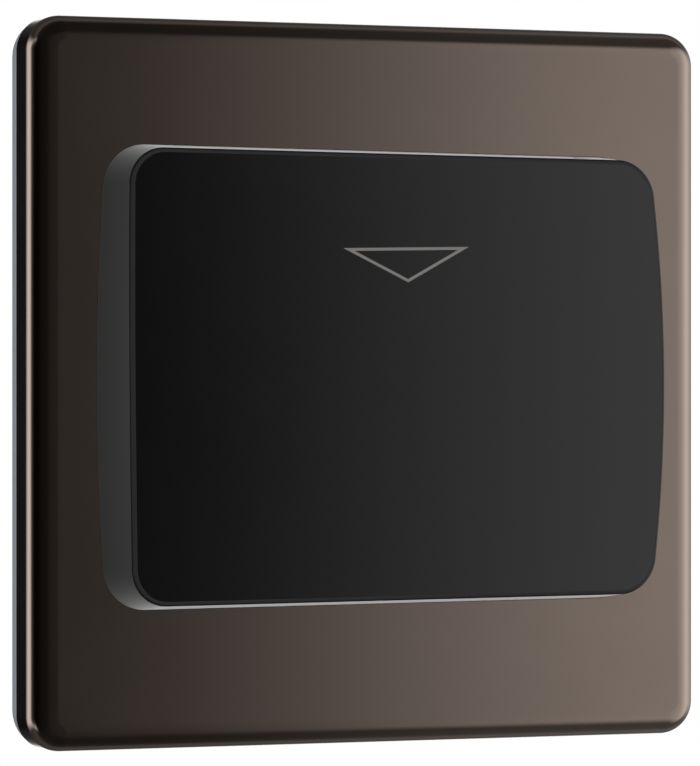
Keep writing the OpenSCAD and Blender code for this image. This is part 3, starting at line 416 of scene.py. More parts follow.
@dataclass
class CardHolder:
    """The black holder: drafted, bowed sides, a crowned front, and a card slot in its top. Millimetres.

    The outside loses a small share of its height, the taper, for each millimetre to the right.
    """

    width: float = 77.8
    height: float = 59.6
    middle: float = 0.8
    corner_r: float = 5.7
    bow_r: float = 340
    side_draft: float = 7.2
    end_draft: float = 5.5
    face_out: float = 9.0
    back_out: float = 2.0
    proud: float = 9.7
    crown_r: float = 200
    crown_up: float = -2.0
    edge_r: float = 0.6
    taper: float = 0.00028
    wall: float = 2.0
    front_wall: float = 1.8
    slot_w: float = 56.6
    slot_out: float = 9.6
    slot_lip: float = 0.45
    rail_t: float = 4.0
    stop_up: float = -24.0
    stop_t: float = 2.0
    boss_r: float = 3.2
    boss_at: Point = (33.2, 22.4)
    peg_r: float = 1.9
    peg_in: float = 1.4
    screw_r: float = 1.05
    screw_up: float = 14.0
    screw_deep: float = 5.0
    corner_steps: int = 24
    side_steps: int = 24
    groove_w: float = 0.2
    groove_deep: float = 0.3
    groove_lean: float = 0.02
    edge_steps: int = 10
    flat_steps: int = 12
    margin: float = 0.1
    held_share: float = 0.01
    crease_deg: float = 28
    finishes: tuple[Finish, ...] = (BLACK_GLOSS, BLACK_SATIN, BLACK_MATTE, EDGE_PAINTED_HIGHLIGHT, LIP_PAINTED_HIGHLIGHT)

    @property
    def half_count(self) -> int:
        """Number of points along one half of the outline."""
        return 2 * self.corner_steps + self.side_steps + 1

    def half_point(self, i: int, half_w: float, half_h: float, r: float) -> Point:
        """Point i of the right half of an outline, from the bottom up.

        Args:
            i: the point's number.
            half_w: half the outline's width, at mid-height.
            half_h: half its height.
            r: its corner radius.

        Returns:
            The point, across and up from the holder's middle.
        """
        bow_x = half_w - self.bow_r
        mid = half_h - r
        lean = math.asin(mid / (self.bow_r - r))
        corner_x = bow_x + (self.bow_r - r) * math.cos(lean)
        quarter = math.pi / 2 - lean
        past = i - self.corner_steps - self.side_steps
        if i < self.corner_steps:
            turn = -math.pi / 2 + quarter * i / self.corner_steps
            return corner_x + r * math.cos(turn), r * math.sin(turn) - mid
        if past <= 0:
            turn = lean * (2 * (i - self.corner_steps) / self.side_steps - 1)
            return bow_x + self.bow_r * math.cos(turn), self.bow_r * math.sin(turn)
        turn = lean + quarter * past / self.corner_steps
        return corner_x + r * math.cos(turn), mid + r * math.sin(turn)

    def drafted(self, i: int, rise: float, inset: float) -> Point:
        """Point i at a rise above the plate's face, taken in by an inset."""
        side = rise * math.tan(math.radians(self.side_draft))
        end = rise * math.tan(math.radians(self.end_draft))
        return self.half_point(i, self.width / 2 - inset - side, self.height / 2 - inset - end,
                               self.corner_r - inset - end)

    def crown_drop(self, up: float) -> float:
        """How far the crowned front falls back at a height on the holder."""
        reach = up + self.middle - self.crown_up
        return self.crown_r - math.sqrt(self.crown_r ** 2 - reach ** 2)

    def outline(self, inset: float, out: float) -> list[Vector]:
        """The outline at the plate's face, taken in by an inset, as a ring at a depth."""
        half = [self.drafted(i, 0, inset) for i in range(self.half_count)]
        return self.ring([(x, y, out) for x, y in half], inset)

    def ring(self, half: list[tuple[float, float, float]], inset: float) -> list[Vector]:
        """A whole ring from its right half, with points along its ends, and tapered if it is outside."""
        taper = 0 if inset > 0 else self.taper
        right = [at(x, y * (1 - taper * x) + self.middle, z) for x, y, z in half]
        left = [at(-x, y * (1 + taper * x) + self.middle, z) for x, y, z in reversed(half)]
        return right + self.between(right[-1], left[0]) + left + self.between(left[-1], right[0])

    def between(self, start: Vector, end: Vector) -> list[Vector]:
        """Points along a line: one close to each end, so that the line shades flat, and even steps."""
        margin = self.margin * MM * (end - start).normalized()
        steps = [start.lerp(end, k / self.flat_steps) for k in range(1, self.flat_steps)]
        return [start + margin, *steps, end - margin]

    def edge_section(self, grooved: bool) -> list[Point]:
        """The section of the edge round the front: a fillet, after a fine groove if it is grooved.

        Args:
            grooved: whether the groove is cut.

        Returns:
            The section's points, in and out from the side's end.
        """
        start = math.acos(1 - self.groove_w / self.edge_r) if grooved else 0
        turns = [start + (math.pi / 2 - start) * k / self.edge_steps for k in range(self.edge_steps + 1)]
        fillet = [(self.edge_r * (1 - math.cos(turn)), self.edge_r * math.sin(turn)) for turn in turns]
        lean = self.groove_lean
        groove = [(0, 0), (lean, -self.groove_deep), (self.groove_w - lean, -self.groove_deep)]
        return groove + fillet if grooved else fillet

    def edge_ring(self, inset: float, proud: float, point: Point) -> list[Vector]:
        """The ring that a point of the edge's section draws round the front.

        Args:
            inset: how far the shape is taken in all round.
            proud: the crest's height above the plate's face.
            point: the point, in and out from the side's end.

        Returns:
            The ring's points.
        """
        inwards, outwards = point
        half = []
        for i in range(self.half_count):
            side_up = self.drafted(i, proud - self.edge_r, inset)[1]
            rise = proud - self.edge_r - self.crown_drop(side_up)
            x, y = self.drafted(i, rise, inset + inwards)
            half.append((x, y, self.face_out + rise + outwards))
        return self.ring(half, inset)

    def shell(self, inset: float, proud: float, back: float, materials: tuple[Skin, Skin, Skin]) -> Piece:
        """Makes the closed outer shape, with a fine groove round its front, or with an inset the hollow.

        Args:
            inset: how far the shape is taken in all round.
            proud: the crest's height above the plate's face.
            back: the depth of its rear.
            materials: the material numbers of the front, the edge round it and the sides.

        Returns:
            The closed shape.
        """
        front, brow, side = materials
        bm = bmesh.new()
        edge = [self.edge_ring(inset, proud, point) for point in self.edge_section(grooved=inset == 0)]
        foot = self.outline(inset, self.face_out)
        held = [[a.lerp(b, share) for a, b in zip(foot, edge[0])]
                for share in (self.held_share, 1 - self.held_share)]
        walls = loft(bm, [self.outline(inset, back), foot, *held], side)
        # On the outer shape the edge's faces take the brow's number: a painted highlight round the front
        rolled = loft(bm, edge, brow)
        bridge(bm, walls[-1], rolled[0], side)
        self.cap(bm, rolled[-1], front)
        bm.faces.new(walls[0]).material_index = side
        bmesh.ops.recalc_face_normals(bm, faces=bm.faces)
        return new_object("card_holder_shell", bm, self.finishes)

    def cap(self, bm: Mesh, ring: list, material: int) -> None:
        """Closes the front with rows of faces, from the bottom up.

        Args:
            bm: the mesh.
            ring: the front's vertices.
            material: the faces' material number.
        """
        count, level = self.half_count, self.flat_steps + 1
        left = ring[count + level:2 * count + level][::-1]
        rows = [[ring[0], *ring[2 * count + level:][::-1], left[0]]]
        for start, end in zip(ring[1:count - 1], left[1:-1]):
            rows.append([start, *[bm.verts.new(p) for p in self.between(start.co, end.co)], end])
        rows.append(ring[count - 1:count + level + 1])
        for low, high in zip(rows, rows[1:]):
            for k in range(level + 1):
                bm.faces.new((low[k], low[k + 1], high[k + 1], high[k])).material_index = material

    def build(self) -> Piece:
        """Makes the holder with its hollow, rails, card stop, slot and pegs.

        Returns:
            The finished holder.
        """
        deep = self.face_out + self.proud
        rail = self.slot_w / 2
        ends = rail + self.rail_t
        under = self.stop_up - self.stop_t
        holder = self.shell(0, self.proud, self.back_out, (Skin.FRONT, Skin.BROW, Skin.SIDE))
        hollow = self.shell(self.wall, self.proud - self.front_wall, self.back_out - OVER, (Skin.INNER,) * 3)
        for side in (-1, 1):
            carve(hollow, self.bar(at(side * rail, under, self.slot_out), at(side * ends, self.height, deep)))
        carve(hollow, self.bar(at(-ends, under, self.slot_out), at(ends, self.stop_up, deep)))
        for across, up in self.pegs():
            carve(hollow, self.post(at(across, up, self.back_out), self.boss_r, deep))
        carve(holder, hollow)
        self.cut_slot(holder)
        for across in (-rail - self.rail_t / 2, rail + self.rail_t / 2):
            for up in (self.middle - self.screw_up, self.middle + self.screw_up):
                carve(holder, self.post(at(across, up, self.slot_out - OVER), self.screw_r, self.screw_deep))
        for across, up in self.pegs():
            foot = at(across, up, self.back_out - self.peg_in)
            carve(holder, self.post(foot, self.peg_r, self.peg_in + OVER), "UNION")
        holder.name = "card_holder_moulding"
        crisp(holder, self.crease_deg)
        holder.visible_glossy = False
        dress(holder, "holder", "black_gloss", "card_holder")
        return holder

    def bar(self, a: Vector, b: Vector) -> Piece:
        """A box with the skin of the holder's inside."""
        return block(a, b, Skin.INNER, self.finishes)

    def post(self, foot: Vector, radius: float, length: float) -> Piece:
        """A rod with the skin of the holder's inside."""
        return rod(foot, radius, length, Skin.INNER, self.finishes)

    def pegs(self) -> list[Point]:
        """The four places of the pegs."""
        across, up = self.boss_at
        return [(sx * across, self.middle + sy * up) for sx in (-1, 1) for sy in (-1, 1)]

    def cut_slot(self, holder: Piece) -> None:
        """Cuts the card slot through the holder's top, with a chamfer along its rear edge and its ends,
        coloured pale grey as a painted highlight.
        """
        top = self.middle + self.height / 2
        front = self.face_out + self.proud - self.front_wall - self.crown_drop(self.height / 2 - self.wall)
        half = self.slot_w / 2
        carve(holder, self.bar(at(-half, top - 2 * self.wall, self.slot_out), at(half, top + OVER, front)))
        slope = math.tan(math.radians(self.end_draft))
        near = front - self.margin
        lip = self.slot_lip
        route = ((-half, near, -1, 0), (-half, self.slot_out, -1, -1), (half, self.slot_out, 1, -1),
                 (half, near, 1, 0))
        rings = []
        for across, out, lean_x, lean_out in route:
            up = self.middle + (self.height / 2 - (out - self.face_out) * slope) * (1 - self.taper * across)
            rings.append([at(across + side * lean_x, up + rise, out + side * lean_out)
                          for side, rise in ((0, lip), (lip, 0), (0, -lip), (-lip, 0))])
        bm = bmesh.new()
        # The chamfer's faces take the lip's pale grey, a painted highlight line
        lid(bm, loft(bm, rings, Skin.LIP), Skin.LIP)
        carve(holder, new_object("tool_lip", bm, self.finishes))


@dataclass
class ArrowMark:
    """The thin outline of a triangle that points down into the slot's card way. Millimetres."""

    holder: CardHolder
    width: float = 17.8
    height: float = 4.55
    middle: Point = (0.66, 17.7)
    tilt_deg: float = 1.1
    stroke: float = 0.38
    proud: float = 0.02
    steps: int = 8

    def corners(self, inset: float) -> list[Point]:
        """The triangle's three corners, taken in by an inset, from the middle of its upper side."""
        half = self.width / 2
        slope = math.hypot(half, self.height)
        side = half - inset * (half + slope) / self.height
        flat = [(-side, -inset), (side, -inset), (0.0, inset * slope / half - self.height)]
        cos, sin = math.cos(math.radians(self.tilt_deg)), math.sin(math.radians(self.tilt_deg))
        across, up = self.middle
        return [(across + x * cos - y * sin, up + x * sin + y * cos) for x, y in flat]

    def surface(self, across: float, up: float, lift: float) -> Vector:
        """A point on the holder's front, lifted off it."""
        drop = self.holder.crown_drop(up - self.holder.middle)
        return at(across, up, self.holder.face_out + self.holder.proud - drop + lift)

    def loop(self, inset: float, lift: float) -> list[Vector]:
        """The triangle's outline on the holder's front, in short steps that follow the crown."""
        corners = self.corners(inset)
        points = []
        for (x0, y0), (x1, y1) in zip(corners, corners[1:] + corners[:1]):
            for i in range(self.steps):
                share = i / self.steps
                points.append(self.surface(x0 + share * (x1 - x0), y0 + share * (y1 - y0), lift))
        return points

    def build(self) -> Piece:
        """Prints the mark as a thin closed layer.

        Returns:
            The mark.
        """
        rings = [self.loop(0, -self.proud), self.loop(0, self.proud),
                 self.loop(self.stroke, self.proud), self.loop(self.stroke, -self.proud)]
        bm = bmesh.new()
        verts = loft(bm, rings)
        bridge(bm, verts[-1], verts[0])
        bmesh.ops.recalc_face_normals(bm, faces=bm.faces)
        mark = new_object("arrow_mark", bm, (GREY_INK,))
        dress(mark, "holder", "black_gloss")
        return mark


@dataclass
class FrontPlate:
    """The square metal plate: a rolled front edge, a thin wall and a window for the holder. Millimetres."""

    holder: CardHolder
    size: float = 95.0
    corner_r: float = 4.5
    rim_out: float = 2.0
    wall: float = 1.6
    roll_in: float = 3.3
    roll_deep: float = 3.3
    window_gap: float = 0.05
    window_edge: float = 0.04
    margin: float = 0.05
    prise_w: float = 9.0
    prise_h: float = 1.2
    roll_steps: int = 20
    corner_steps: int = 20

    def ring(self, inset: float, out: float) -> list[Vector]:
        """The plate's outline, taken in by an inset, as a ring at a depth."""
        r = max(self.corner_r - inset, self.wall / 4)
        reach = self.size / 2 - inset - r
        points = []
        for quarter, (sx, sy) in enumerate(((1, 1), (-1, 1), (-1, -1), (1, -1))):
            for i in range(self.corner_steps + 1):
                turn = math.pi / 2 * (quarter + i / self.corner_steps)
                points.append(at(sx * reach + r * math.cos(turn), sy * reach + r * math.sin(turn), out))
        return points

    def outside(self) -> list[list[Vector]]:
        """The rings from the rim, up the side and over the rolled edge."""
        face = self.holder.face_out
        start = face - self.roll_deep
        rings = [self.ring(0, self.rim_out), self.ring(0, start - self.margin)]
        for k in range(self.roll_steps + 1):
            turn = math.pi / 2 * k / self.roll_steps
            inset = self.roll_in * (1 - math.cos(turn))
            rings.append(self.ring(inset, start + self.roll_deep * math.sin(turn)))
        return rings + [self.ring(self.roll_in + self.margin, face)]

    def window(self) -> list[list[Vector]]:
        """The rings of the window, from the face in to the plate's rear."""
        face = self.holder.face_out
        gap = self.window_gap
        wide = gap + self.window_edge
        places = ((-wide - self.margin, face), (-wide, face), (-gap, face - self.window_edge),
                  (-gap, face - self.wall))
        return [self.holder.outline(inset, out) for inset, out in places]

    def inside(self) -> list[list[Vector]]:
        """The rings inside the plate, from its rear face out to the rim."""
        rear = self.holder.face_out - self.wall
        bend = self.roll_deep - self.wall
        rings = []
        for k in range(self.roll_steps // 2 + 1):
            turn = math.pi / 2 * (1 - 2 * k / self.roll_steps)
            inset = self.wall + bend * (1 - math.cos(turn))
            rings.append(self.ring(inset, rear - bend * (1 - math.sin(turn))))
        return rings + [self.ring(self.wall, self.rim_out)]

    def build(self) -> Piece:
        """Presses the plate, and cuts the prising notch in its lower rim.

        Returns:
            The finished plate.
        """
        bm = bmesh.new()
        outside = loft(bm, self.outside())
        window = loft(bm, self.window())
        inside = loft(bm, self.inside())
        bridge(bm, inside[-1], outside[0])
        fill(bm, outside[-1], window[0])
        fill(bm, window[-1], inside[0])
        bmesh.ops.recalc_face_normals(bm, faces=bm.faces)
        plate = new_object("front_plate_pressing", bm, (BLACK_NICKEL,))
        low = -self.size / 2
        carve(plate, block(at(-self.prise_w / 2, low - OVER, self.rim_out - OVER),
                           at(self.prise_w / 2, low + self.wall + OVER, self.rim_out + self.prise_h)))
        crisp(plate)
        dress(plate, "plate", "black_nickel", "front_plate")
        return plate


def new_tree(name: str, sizes: dict[str, float]) -> Tree:
    """Starts a geometry tree with a geometry input, an input for each size and a geometry output.

    Args:
        name: the tree's name.
        sizes: the named sizes, in metres or counts.

    Returns:
        The tree, with its Group Input node.
    """
    tree = bpy.data.node_groups.new(name, "GeometryNodeTree")
    for way in ("INPUT", "OUTPUT"):
        tree.interface.new_socket("Geometry", in_out=way, socket_type="NodeSocketGeometry")
    for size in sizes:
        tree.interface.new_socket(size, in_out="INPUT", socket_type="NodeSocketFloat")
    add_node(tree, "NodeGroupInput", name="sizes")
    return tree


def grow(name: str, tree: Tree, end: Socket, finish: Finish,
         sizes: dict[str, float], points: list[Vector]) -> Piece:
    """Closes a geometry tree, runs it on points and turns the result into a plain mesh.

    Args:
        name: the new object's name.
        tree: the tree.
        end: the socket that gives the geometry.
        finish: the finish of the result.
        sizes: the values of the tree's named inputs.
        points: the places that the tree starts from.

    Returns:
        The grown object.
    """
    real = add_node(tree, "GeometryNodeRealizeInstances", {0: end})
    dressed = add_node(tree, "GeometryNodeSetMaterial", {"Geometry": real.outputs[0]})
    dressed.inputs["Material"].default_value = finish.material()
    add_node(tree, "NodeGroupOutput", {0: dressed.outputs[0]})
    mesh = bpy.data.meshes.new(name)
    mesh.from_pydata(points, [], [])
    obj = bpy.data.objects.new(name, mesh)
    modifier = obj.modifiers.new("grow", "NODES")
    modifier.node_group = tree
    for item in tree.interface.items_tree:
        if item.in_out == "INPUT" and item.name in sizes:
            modifier[item.identifier] = sizes[item.name]
    bpy.context.scene.collection.objects.link(obj)
    bake(obj)
    crease_deg = 35
    crisp(obj, crease_deg)
    return obj


def raised(tree: Tree, solid: Socket, height: Value) -> Socket:
    """Moves a geometry tree's shape along z."""
    place = add_node(tree, "ShaderNodeCombineXYZ", {"Z": height}).outputs[0]
    return add_node(tree, "GeometryNodeTransform", {"Geometry": solid, "Translation": place}).outputs[0]


def wound(tree: Tree, turns: Value, radius: Value, rise: Value, wire_r: Value, steps: Counts) -> Socket:
    """Winds a round wire into a helix that rises from the origin along z.

    Args:
        tree: the geometry tree.
        turns: the number of turns.
        radius: the helix's radius.
        rise: the helix's height.
        wire_r: the wire's radius.
        steps: the number of steps along each turn and round the wire.

    Returns:
        The socket that gives the wound wire.
    """
    helix = add_node(tree, "GeometryNodeCurveSpiral",
                     {"Resolution": steps[0], "Rotations": turns, "Start Radius": radius,
                      "End Radius": radius, "Height": rise})
    wire = add_node(tree, "GeometryNodeCurvePrimitiveCircle", {"Resolution": steps[1], "Radius": wire_r})
    tube = add_node(tree, "GeometryNodeCurveToMesh",
                    {"Curve": helix.outputs[0], "Profile Curve": wire.outputs[0], "Fill Caps": True})
    return tube.outputs[0]


@dataclass
class LeverSpring:
    """The compression spring that swings the lever back out. Millimetres."""

    coil_r: float = 2.25
    wire_r: float = 0.25
    length: float = 10.0
    turns: float = 7
    up: float = -14.15
    foot_out: float = -8.0
    steps: Counts = (40, 12)

    def build(self) -> Piece:
        """Winds the spring between the housing and the lever.

        Returns:
            The spring.
        """
        sizes = {"Turns": self.turns, "Radius": self.coil_r * MM, "Wire": self.wire_r * MM,
                 "Rise": (self.length - 2 * self.wire_r) * MM}
        tree = new_tree("wound_spring", sizes)
        size = tree.nodes["sizes"].outputs
        coil = wound(tree, size["Turns"], size["Radius"], size["Rise"], size["Wire"], self.steps)
        placed = add_node(tree, "GeometryNodeTransform",
                          {"Geometry": coil, "Rotation": (math.pi / 2, 0, 0),
                           "Translation": at(0, self.up, self.foot_out + self.wire_r)})
        spring = grow("lever_spring_coil", tree, placed.outputs[0], SPRING_STEEL, sizes, [])
        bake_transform(spring)
        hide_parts("lever_spring")
        LOG.info("%s: %d faces between base and lever", spring.name, len(spring.data.polygons))
        return spring


class Facing(Enum):
    """Which way a screw's head faces."""

    FRONT = 1
    REAR = -1


@dataclass
class ScrewSet:
    """Slotted round-head screws that share one CAD node, each grown where the node has a screw. Metres."""

    node: str
    body: str
    facing: Facing
    head_share: float
    shank_share: float
    pitch: float = 0.0005
    drum_share: float = 0.6
    step_share: float = 0.2
    narrowings: Point = (0.93, 0.8)
    sink_share: float = 0.7
    slot_w_share: float = 0.32
    slot_l_share: float = 3.0
    core_share: float = 0.86
    thread_share: float = 0.84
    thread_start: float = 0.92
    head_sides: int = 40
    shank_sides: int = 28
    thread_steps: Counts = (20, 4)
    seed: int = 4

    def places(self) -> tuple[list[Vector], float, float]:
        """Finds the screws in the CAD node.

        Returns:
            The middle of each head's top, the head's diameter and the whole length.
        """
        bm = bmesh.new()
        bm.from_mesh(FRAME["nodes"][self.node].data)
        bmesh.ops.remove_doubles(bm, verts=bm.verts, dist=WELD * MM)
        left = set(bm.verts)
        tops, width, length = [], 0.0, 0.0
        while left:
            island = [left.pop()]
            for vert in island:
                near = {edge.other_vert(vert) for edge in vert.link_edges} & left
                left -= near
                island.extend(near)
            low = Vector([min(v.co[k] for v in island) for k in range(3)])
            high = Vector([max(v.co[k] for v in island) for k in range(3)])
            middle = (low + high) / 2
            middle.y = low.y if self.facing is Facing.FRONT else high.y
            tops.append(middle)
            width, length = high.x - low.x, high.y - low.y
        bm.free()
        return sorted(tops, key=lambda p: (p.x, p.z)), width, length

    def build(self) -> Piece:
        """Grows one screw and puts a copy at each place, its slot turned at random.

        Returns:
            The set of screws.
        """
        tops, width, length = self.places()
        head_h = length * self.head_share
        sizes = {"Head radius": width / 2, "Head height": head_h, "Shank length": length - head_h,
                 "Shank radius": width / 2 * self.shank_share, "Pitch": self.pitch}
        tree = new_tree(f"{self.node}_screw", sizes)
        size = tree.nodes["sizes"].outputs
        joined = add_node(tree, "GeometryNodeJoinGeometry")
        for part in (self.head(tree, size), self.shank(tree, size), self.thread(tree, size)):
            tree.links.new(part, joined.inputs[0])
        turn = math.pi / 2 * self.facing.value
        spread = add_node(tree, "GeometryNodeInstanceOnPoints",
                          {"Points": size["Geometry"], "Instance": joined.outputs[0],
                           "Rotation": (turn, 0, 0)})
        angle = add_node(tree, "FunctionNodeRandomValue", {"Min": (0, 0, 0), "Max": (0, 0, math.pi),
                                                           "Seed": self.seed}, data_type="FLOAT_VECTOR")
        turned = add_node(tree, "GeometryNodeRotateInstances",
                          {"Instances": spread.outputs[0], "Rotation": angle.outputs[0]})
        screws = grow(f"{self.node}_set", tree, turned.outputs[0], BRIGHT_STEEL, sizes, tops)
        dress(screws, self.body, "bright_steel", self.node)
        return screws

    def head(self, tree: Tree, size: Sockets) -> Socket:
        """A head that narrows in two steps to a dome, with a slot across it."""
        radius, high = size["Head radius"], size["Head height"]
        drum = add_node(tree, "GeometryNodeMeshCylinder",
                        {"Vertices": self.head_sides, "Radius": radius,
                         "Depth": maths(tree, "MULTIPLY", high, self.drum_share)})
        step = maths(tree, "MULTIPLY", high, self.step_share)
        solid, top = drum.outputs["Mesh"], drum.outputs["Top"]
        for narrowing in self.narrowings:
            lifted = add_node(tree, "GeometryNodeExtrudeMesh",
                              {"Mesh": solid, "Selection": top, "Offset Scale": step})
            top = lifted.outputs["Top"]
            solid = add_node(tree, "GeometryNodeScaleElements",
                             {"Geometry": lifted.outputs["Mesh"], "Selection": top,
                              "Scale": narrowing}).outputs[0]
        seated = raised(tree, solid, maths(tree, "MULTIPLY", high, -self.sink_share))
        bar = add_node(tree, "ShaderNodeCombineXYZ", {"X": maths(tree, "MULTIPLY", radius, self.slot_l_share),
                                                      "Y": maths(tree, "MULTIPLY", radius, self.slot_w_share),
                                                      "Z": high})
        groove = add_node(tree, "GeometryNodeMeshCube", {"Size": bar.outputs[0]})
        return add_node(tree, "GeometryNodeMeshBoolean", {0: seated, 1: groove.outputs[0]},
                        operation="DIFFERENCE").outputs[0]

    def shank(self, tree: Tree, size: Sockets) -> Socket:
        """The shank's core, from the head's underside to the tip."""
        pole = add_node(tree, "GeometryNodeMeshCylinder",
                        {"Vertices": self.shank_sides, "Depth": size["Shank length"],
                         "Radius": maths(tree, "MULTIPLY", size["Shank radius"], self.core_share)})
        return self.below(tree, size, pole.outputs["Mesh"], 1 / 2)

    def thread(self, tree: Tree, size: Sockets) -> Socket:
        """A ridge that winds along the shank, short of both its ends."""
        rise = maths(tree, "MULTIPLY", size["Shank length"], self.thread_share)
        turns = maths(tree, "DIVIDE", rise, size["Pitch"])
        core = maths(tree, "MULTIPLY", size["Shank radius"], self.core_share)
        ridge = maths(tree, "MULTIPLY", size["Shank radius"], 1 - self.core_share)
        coil = wound(tree, turns, core, rise, ridge, self.thread_steps)
        return self.below(tree, size, coil, self.thread_start)

    @staticmethod
    def below(tree: Tree, size: Sockets, solid: Socket, share: float) -> Socket:
        """Moves a shape down past the head, by a share of the shank's length."""
        drop = maths(tree, "MULTIPLY", size["Shank length"], -share)
        return raised(tree, solid, maths(tree, "SUBTRACT", drop, size["Head height"]))


@dataclass
class EasedPieces:
    """The pieces whose CAD shape is right: each is copied with its edges broken, and finished."""

    edges: dict[str, float]
    segments: int = 2
    flat_deg: float = 0.5
    corner_deg: float = 35
    crease_deg: float = 75
    face_weight: int = 100

    def build(self) -> list[Piece]:
        """Copies, eases and dresses each piece.

        Returns:
            The pieces.
        """
        record = FRAME["record"]
        slots = {part["node"]: part["material_slot"] for part in record["subparts"]}
        bodies = {node: body for body, nodes in record["behaviour"]["bodies"].items() for node in nodes}
        made = []
        for node, edge in self.edges.items():
            piece = self.eased(node, edge, FINISHES[slots[node]])
            dress(piece, bodies[node], slots[node], node)
            made.append(piece)
        return made

    def eased(self, node: str, edge: float, finish: Finish) -> Piece:
        """Copies a CAD node and breaks its edges.

        Args:
            node: the node's name.
            edge: the width of the broken edge, in millimetres.
            finish: the piece's finish.

        Returns:
            The eased copy.
        """
        bm = bmesh.new()
        bm.from_mesh(FRAME["nodes"][node].data)
        bmesh.ops.remove_doubles(bm, verts=bm.verts, dist=WELD * MM)
        bmesh.ops.dissolve_limit(bm, angle_limit=math.radians(self.flat_deg), verts=bm.verts, edges=bm.edges)
        piece = new_object(f"{node}_eased", bm, (finish,))
        bevel = piece.modifiers.new("ease", "BEVEL")
        bevel.width = edge * MM
        bevel.segments = self.segments
        bevel.limit_method = "ANGLE"
        bevel.angle_limit = math.radians(self.corner_deg)
        even = piece.modifiers.new("even", "WEIGHTED_NORMAL")
        even.weight = self.face_weight
        even.keep_sharp = True
        crisp(piece, self.crease_deg)
        bake(piece)
        return piece


def between_stops(stops: Stops, place: float) -> float:
    """The value at a place, in a straight line between stops of a place and a value each."""
    for (a, low), (b, high) in zip(stops, stops[1:]):
        if place <= b:
            return low + (high - low) * max(0.0, place - a) / (b - a)
    return stops[-1][1]


@dataclass(frozen=True)
class ReflectionDome:
    """A dome far round the object that only reflections see, in place of a studio's flags and softboxes.

    A direction is given by its turn, in degrees from the front round by the left to the rear, and its rise
    from the level. Near the level, the front half and the rear half each have a run of stops from right to
    left. Further up and down, the glow follows stops that run over or under the object to the rear, one run
    for the left and one for the right.
    """

    front: Stops = (
        (-90, 2.0), (-74, 2.15), (-46, 1.25), (-26.15, 1.03), (-24.75, 0.766), (-23.55, 0.606), (-22.4, 0.39),
        (-21.2, 0.204), (-20.05, 0.085), (-19, 0.048), (-14, 0.072), (-7, 0.074), (3, 0.066), (12, 0.06),
        (22, 0.048), (34, 0.032), (60, 0.02), (80, 0.005), (90, 0.005))
    rear: Stops = (
        (-90, 2.0), (-70, 1.1), (-50, 0.3), (-35, 0.6), (-28, 1.5), (-15, 1.5), (-8, 0.2), (0, 0.01),
        (22, 0.01), (27, 0.15), (32, 0.95), (40, 1.9), (48, 2.3), (60, 2.5), (65, 1.3), (70, 0.25),
        (76, 0.08), (84, 0.01), (90, 0.005))
    above: tuple[Stops, Stops] = (
        ((48, 0.031), (92, 0.036), (106, 0.24), (114, 0.22), (130, 0.1), (150, 0.1)),
        ((48, 0.13), (92, 0.145), (106, 0.35), (114, 0.32), (130, 0.13), (150, 0.13)))
    below: tuple[Stops, Stops] = (
        ((48, 0.041), (81, 0.041), (100, 0.06), (118, 0.225), (140, 0.12), (150, 0.1)),
        ((48, 0.2), (81, 0.2), (100, 0.22), (118, 0.36), (140, 0.18), (150, 0.14)))
    across: Point = (-19, -26)
    front_up: Point = (29.4, 41.8)
    front_down: Point = (38.0, 55.0)
    rear_rise: Point = (13.9, 27.6)
    side: Point = (70, 110)
    radius: float = 8.0
    turns: int = 720
    rises: int = 60

    @staticmethod
    def direction(turn: float, rise: float) -> tuple[float, float, float]:
        """How far a direction points left, ahead and up."""
        a, b = math.radians(turn), math.radians(rise)
        return math.sin(a) * math.cos(b), math.cos(a) * math.cos(b), math.sin(b)

    def glow(self, turn: float, rise: float) -> float:
        """The dome's strength in a direction."""
        left, ahead, up = self.direction(turn, rise)
        sideways = math.degrees(math.asin(left))
        level = between_stops(self.front if ahead > 0 else self.rear, sideways)
        behind = between_stops(((self.side[0], 0), (self.side[1], 1)), abs(turn))
        limits = zip(self.front_up if rise > 0 else self.front_down, self.rear_rise)
        start, end = (near + behind * (far - near) for near, far in limits)
        share = between_stops(((start, 1), (end, 0)), abs(rise))
        over = abs(math.degrees(math.atan2(up, ahead)))
        runs = self.above if rise > 0 else self.below
        near, far = (between_stops(run, over) for run in runs)
        steep = near + (far - near) * between_stops(((self.across[1], 1), (self.across[0], 0)), sideways)
        return share * level + (1 - share) * steep

    def build(self) -> Piece:
        """Makes the dome.

        Returns:
            The dome.
        """
        bm = bmesh.new()
        layer = bm.verts.layers.float.new("glow")
        rings = []
        for i in range(1, 2 * self.rises):
            rise = 90 * (i / self.rises - 1)
            ring = []
            for k in range(self.turns):
                turn = 360 * k / self.turns - 180
                left, ahead, up = self.direction(turn, rise)
                vert = bm.verts.new(Vector((-left, -ahead, up)) * self.radius)
                vert[layer] = self.glow(turn, rise)
                ring.append(vert)
            rings.append(ring)
        for low, high in zip(rings, rings[1:]):
            bridge(bm, low, high)
        for ring in (rings[0], rings[-1]):
            bm.faces.new(ring)
        dome = new_object("reflection_dome", bm, ())
        dome.data.materials.append(self.light())
        for ray in ("camera", "diffuse", "transmission", "volume_scatter", "shadow"):
            setattr(dome, f"visible_{ray}", False)
        return dome

    def light(self) -> bpy.types.Material:
        """The dome's material, which glows by the strength at each point."""
        made = bpy.data.materials.new("studio_dome")
        made.use_nodes = True
        tree = made.node_tree
        tree.nodes.clear()
        strength = add_node(tree, "ShaderNodeAttribute", attribute_name="glow")
        light = add_node(tree, "ShaderNodeEmission", {"Strength": strength.outputs["Fac"]})
        add_node(tree, "ShaderNodeOutputMaterial", {"Surface": light.outputs[0]})
        return made


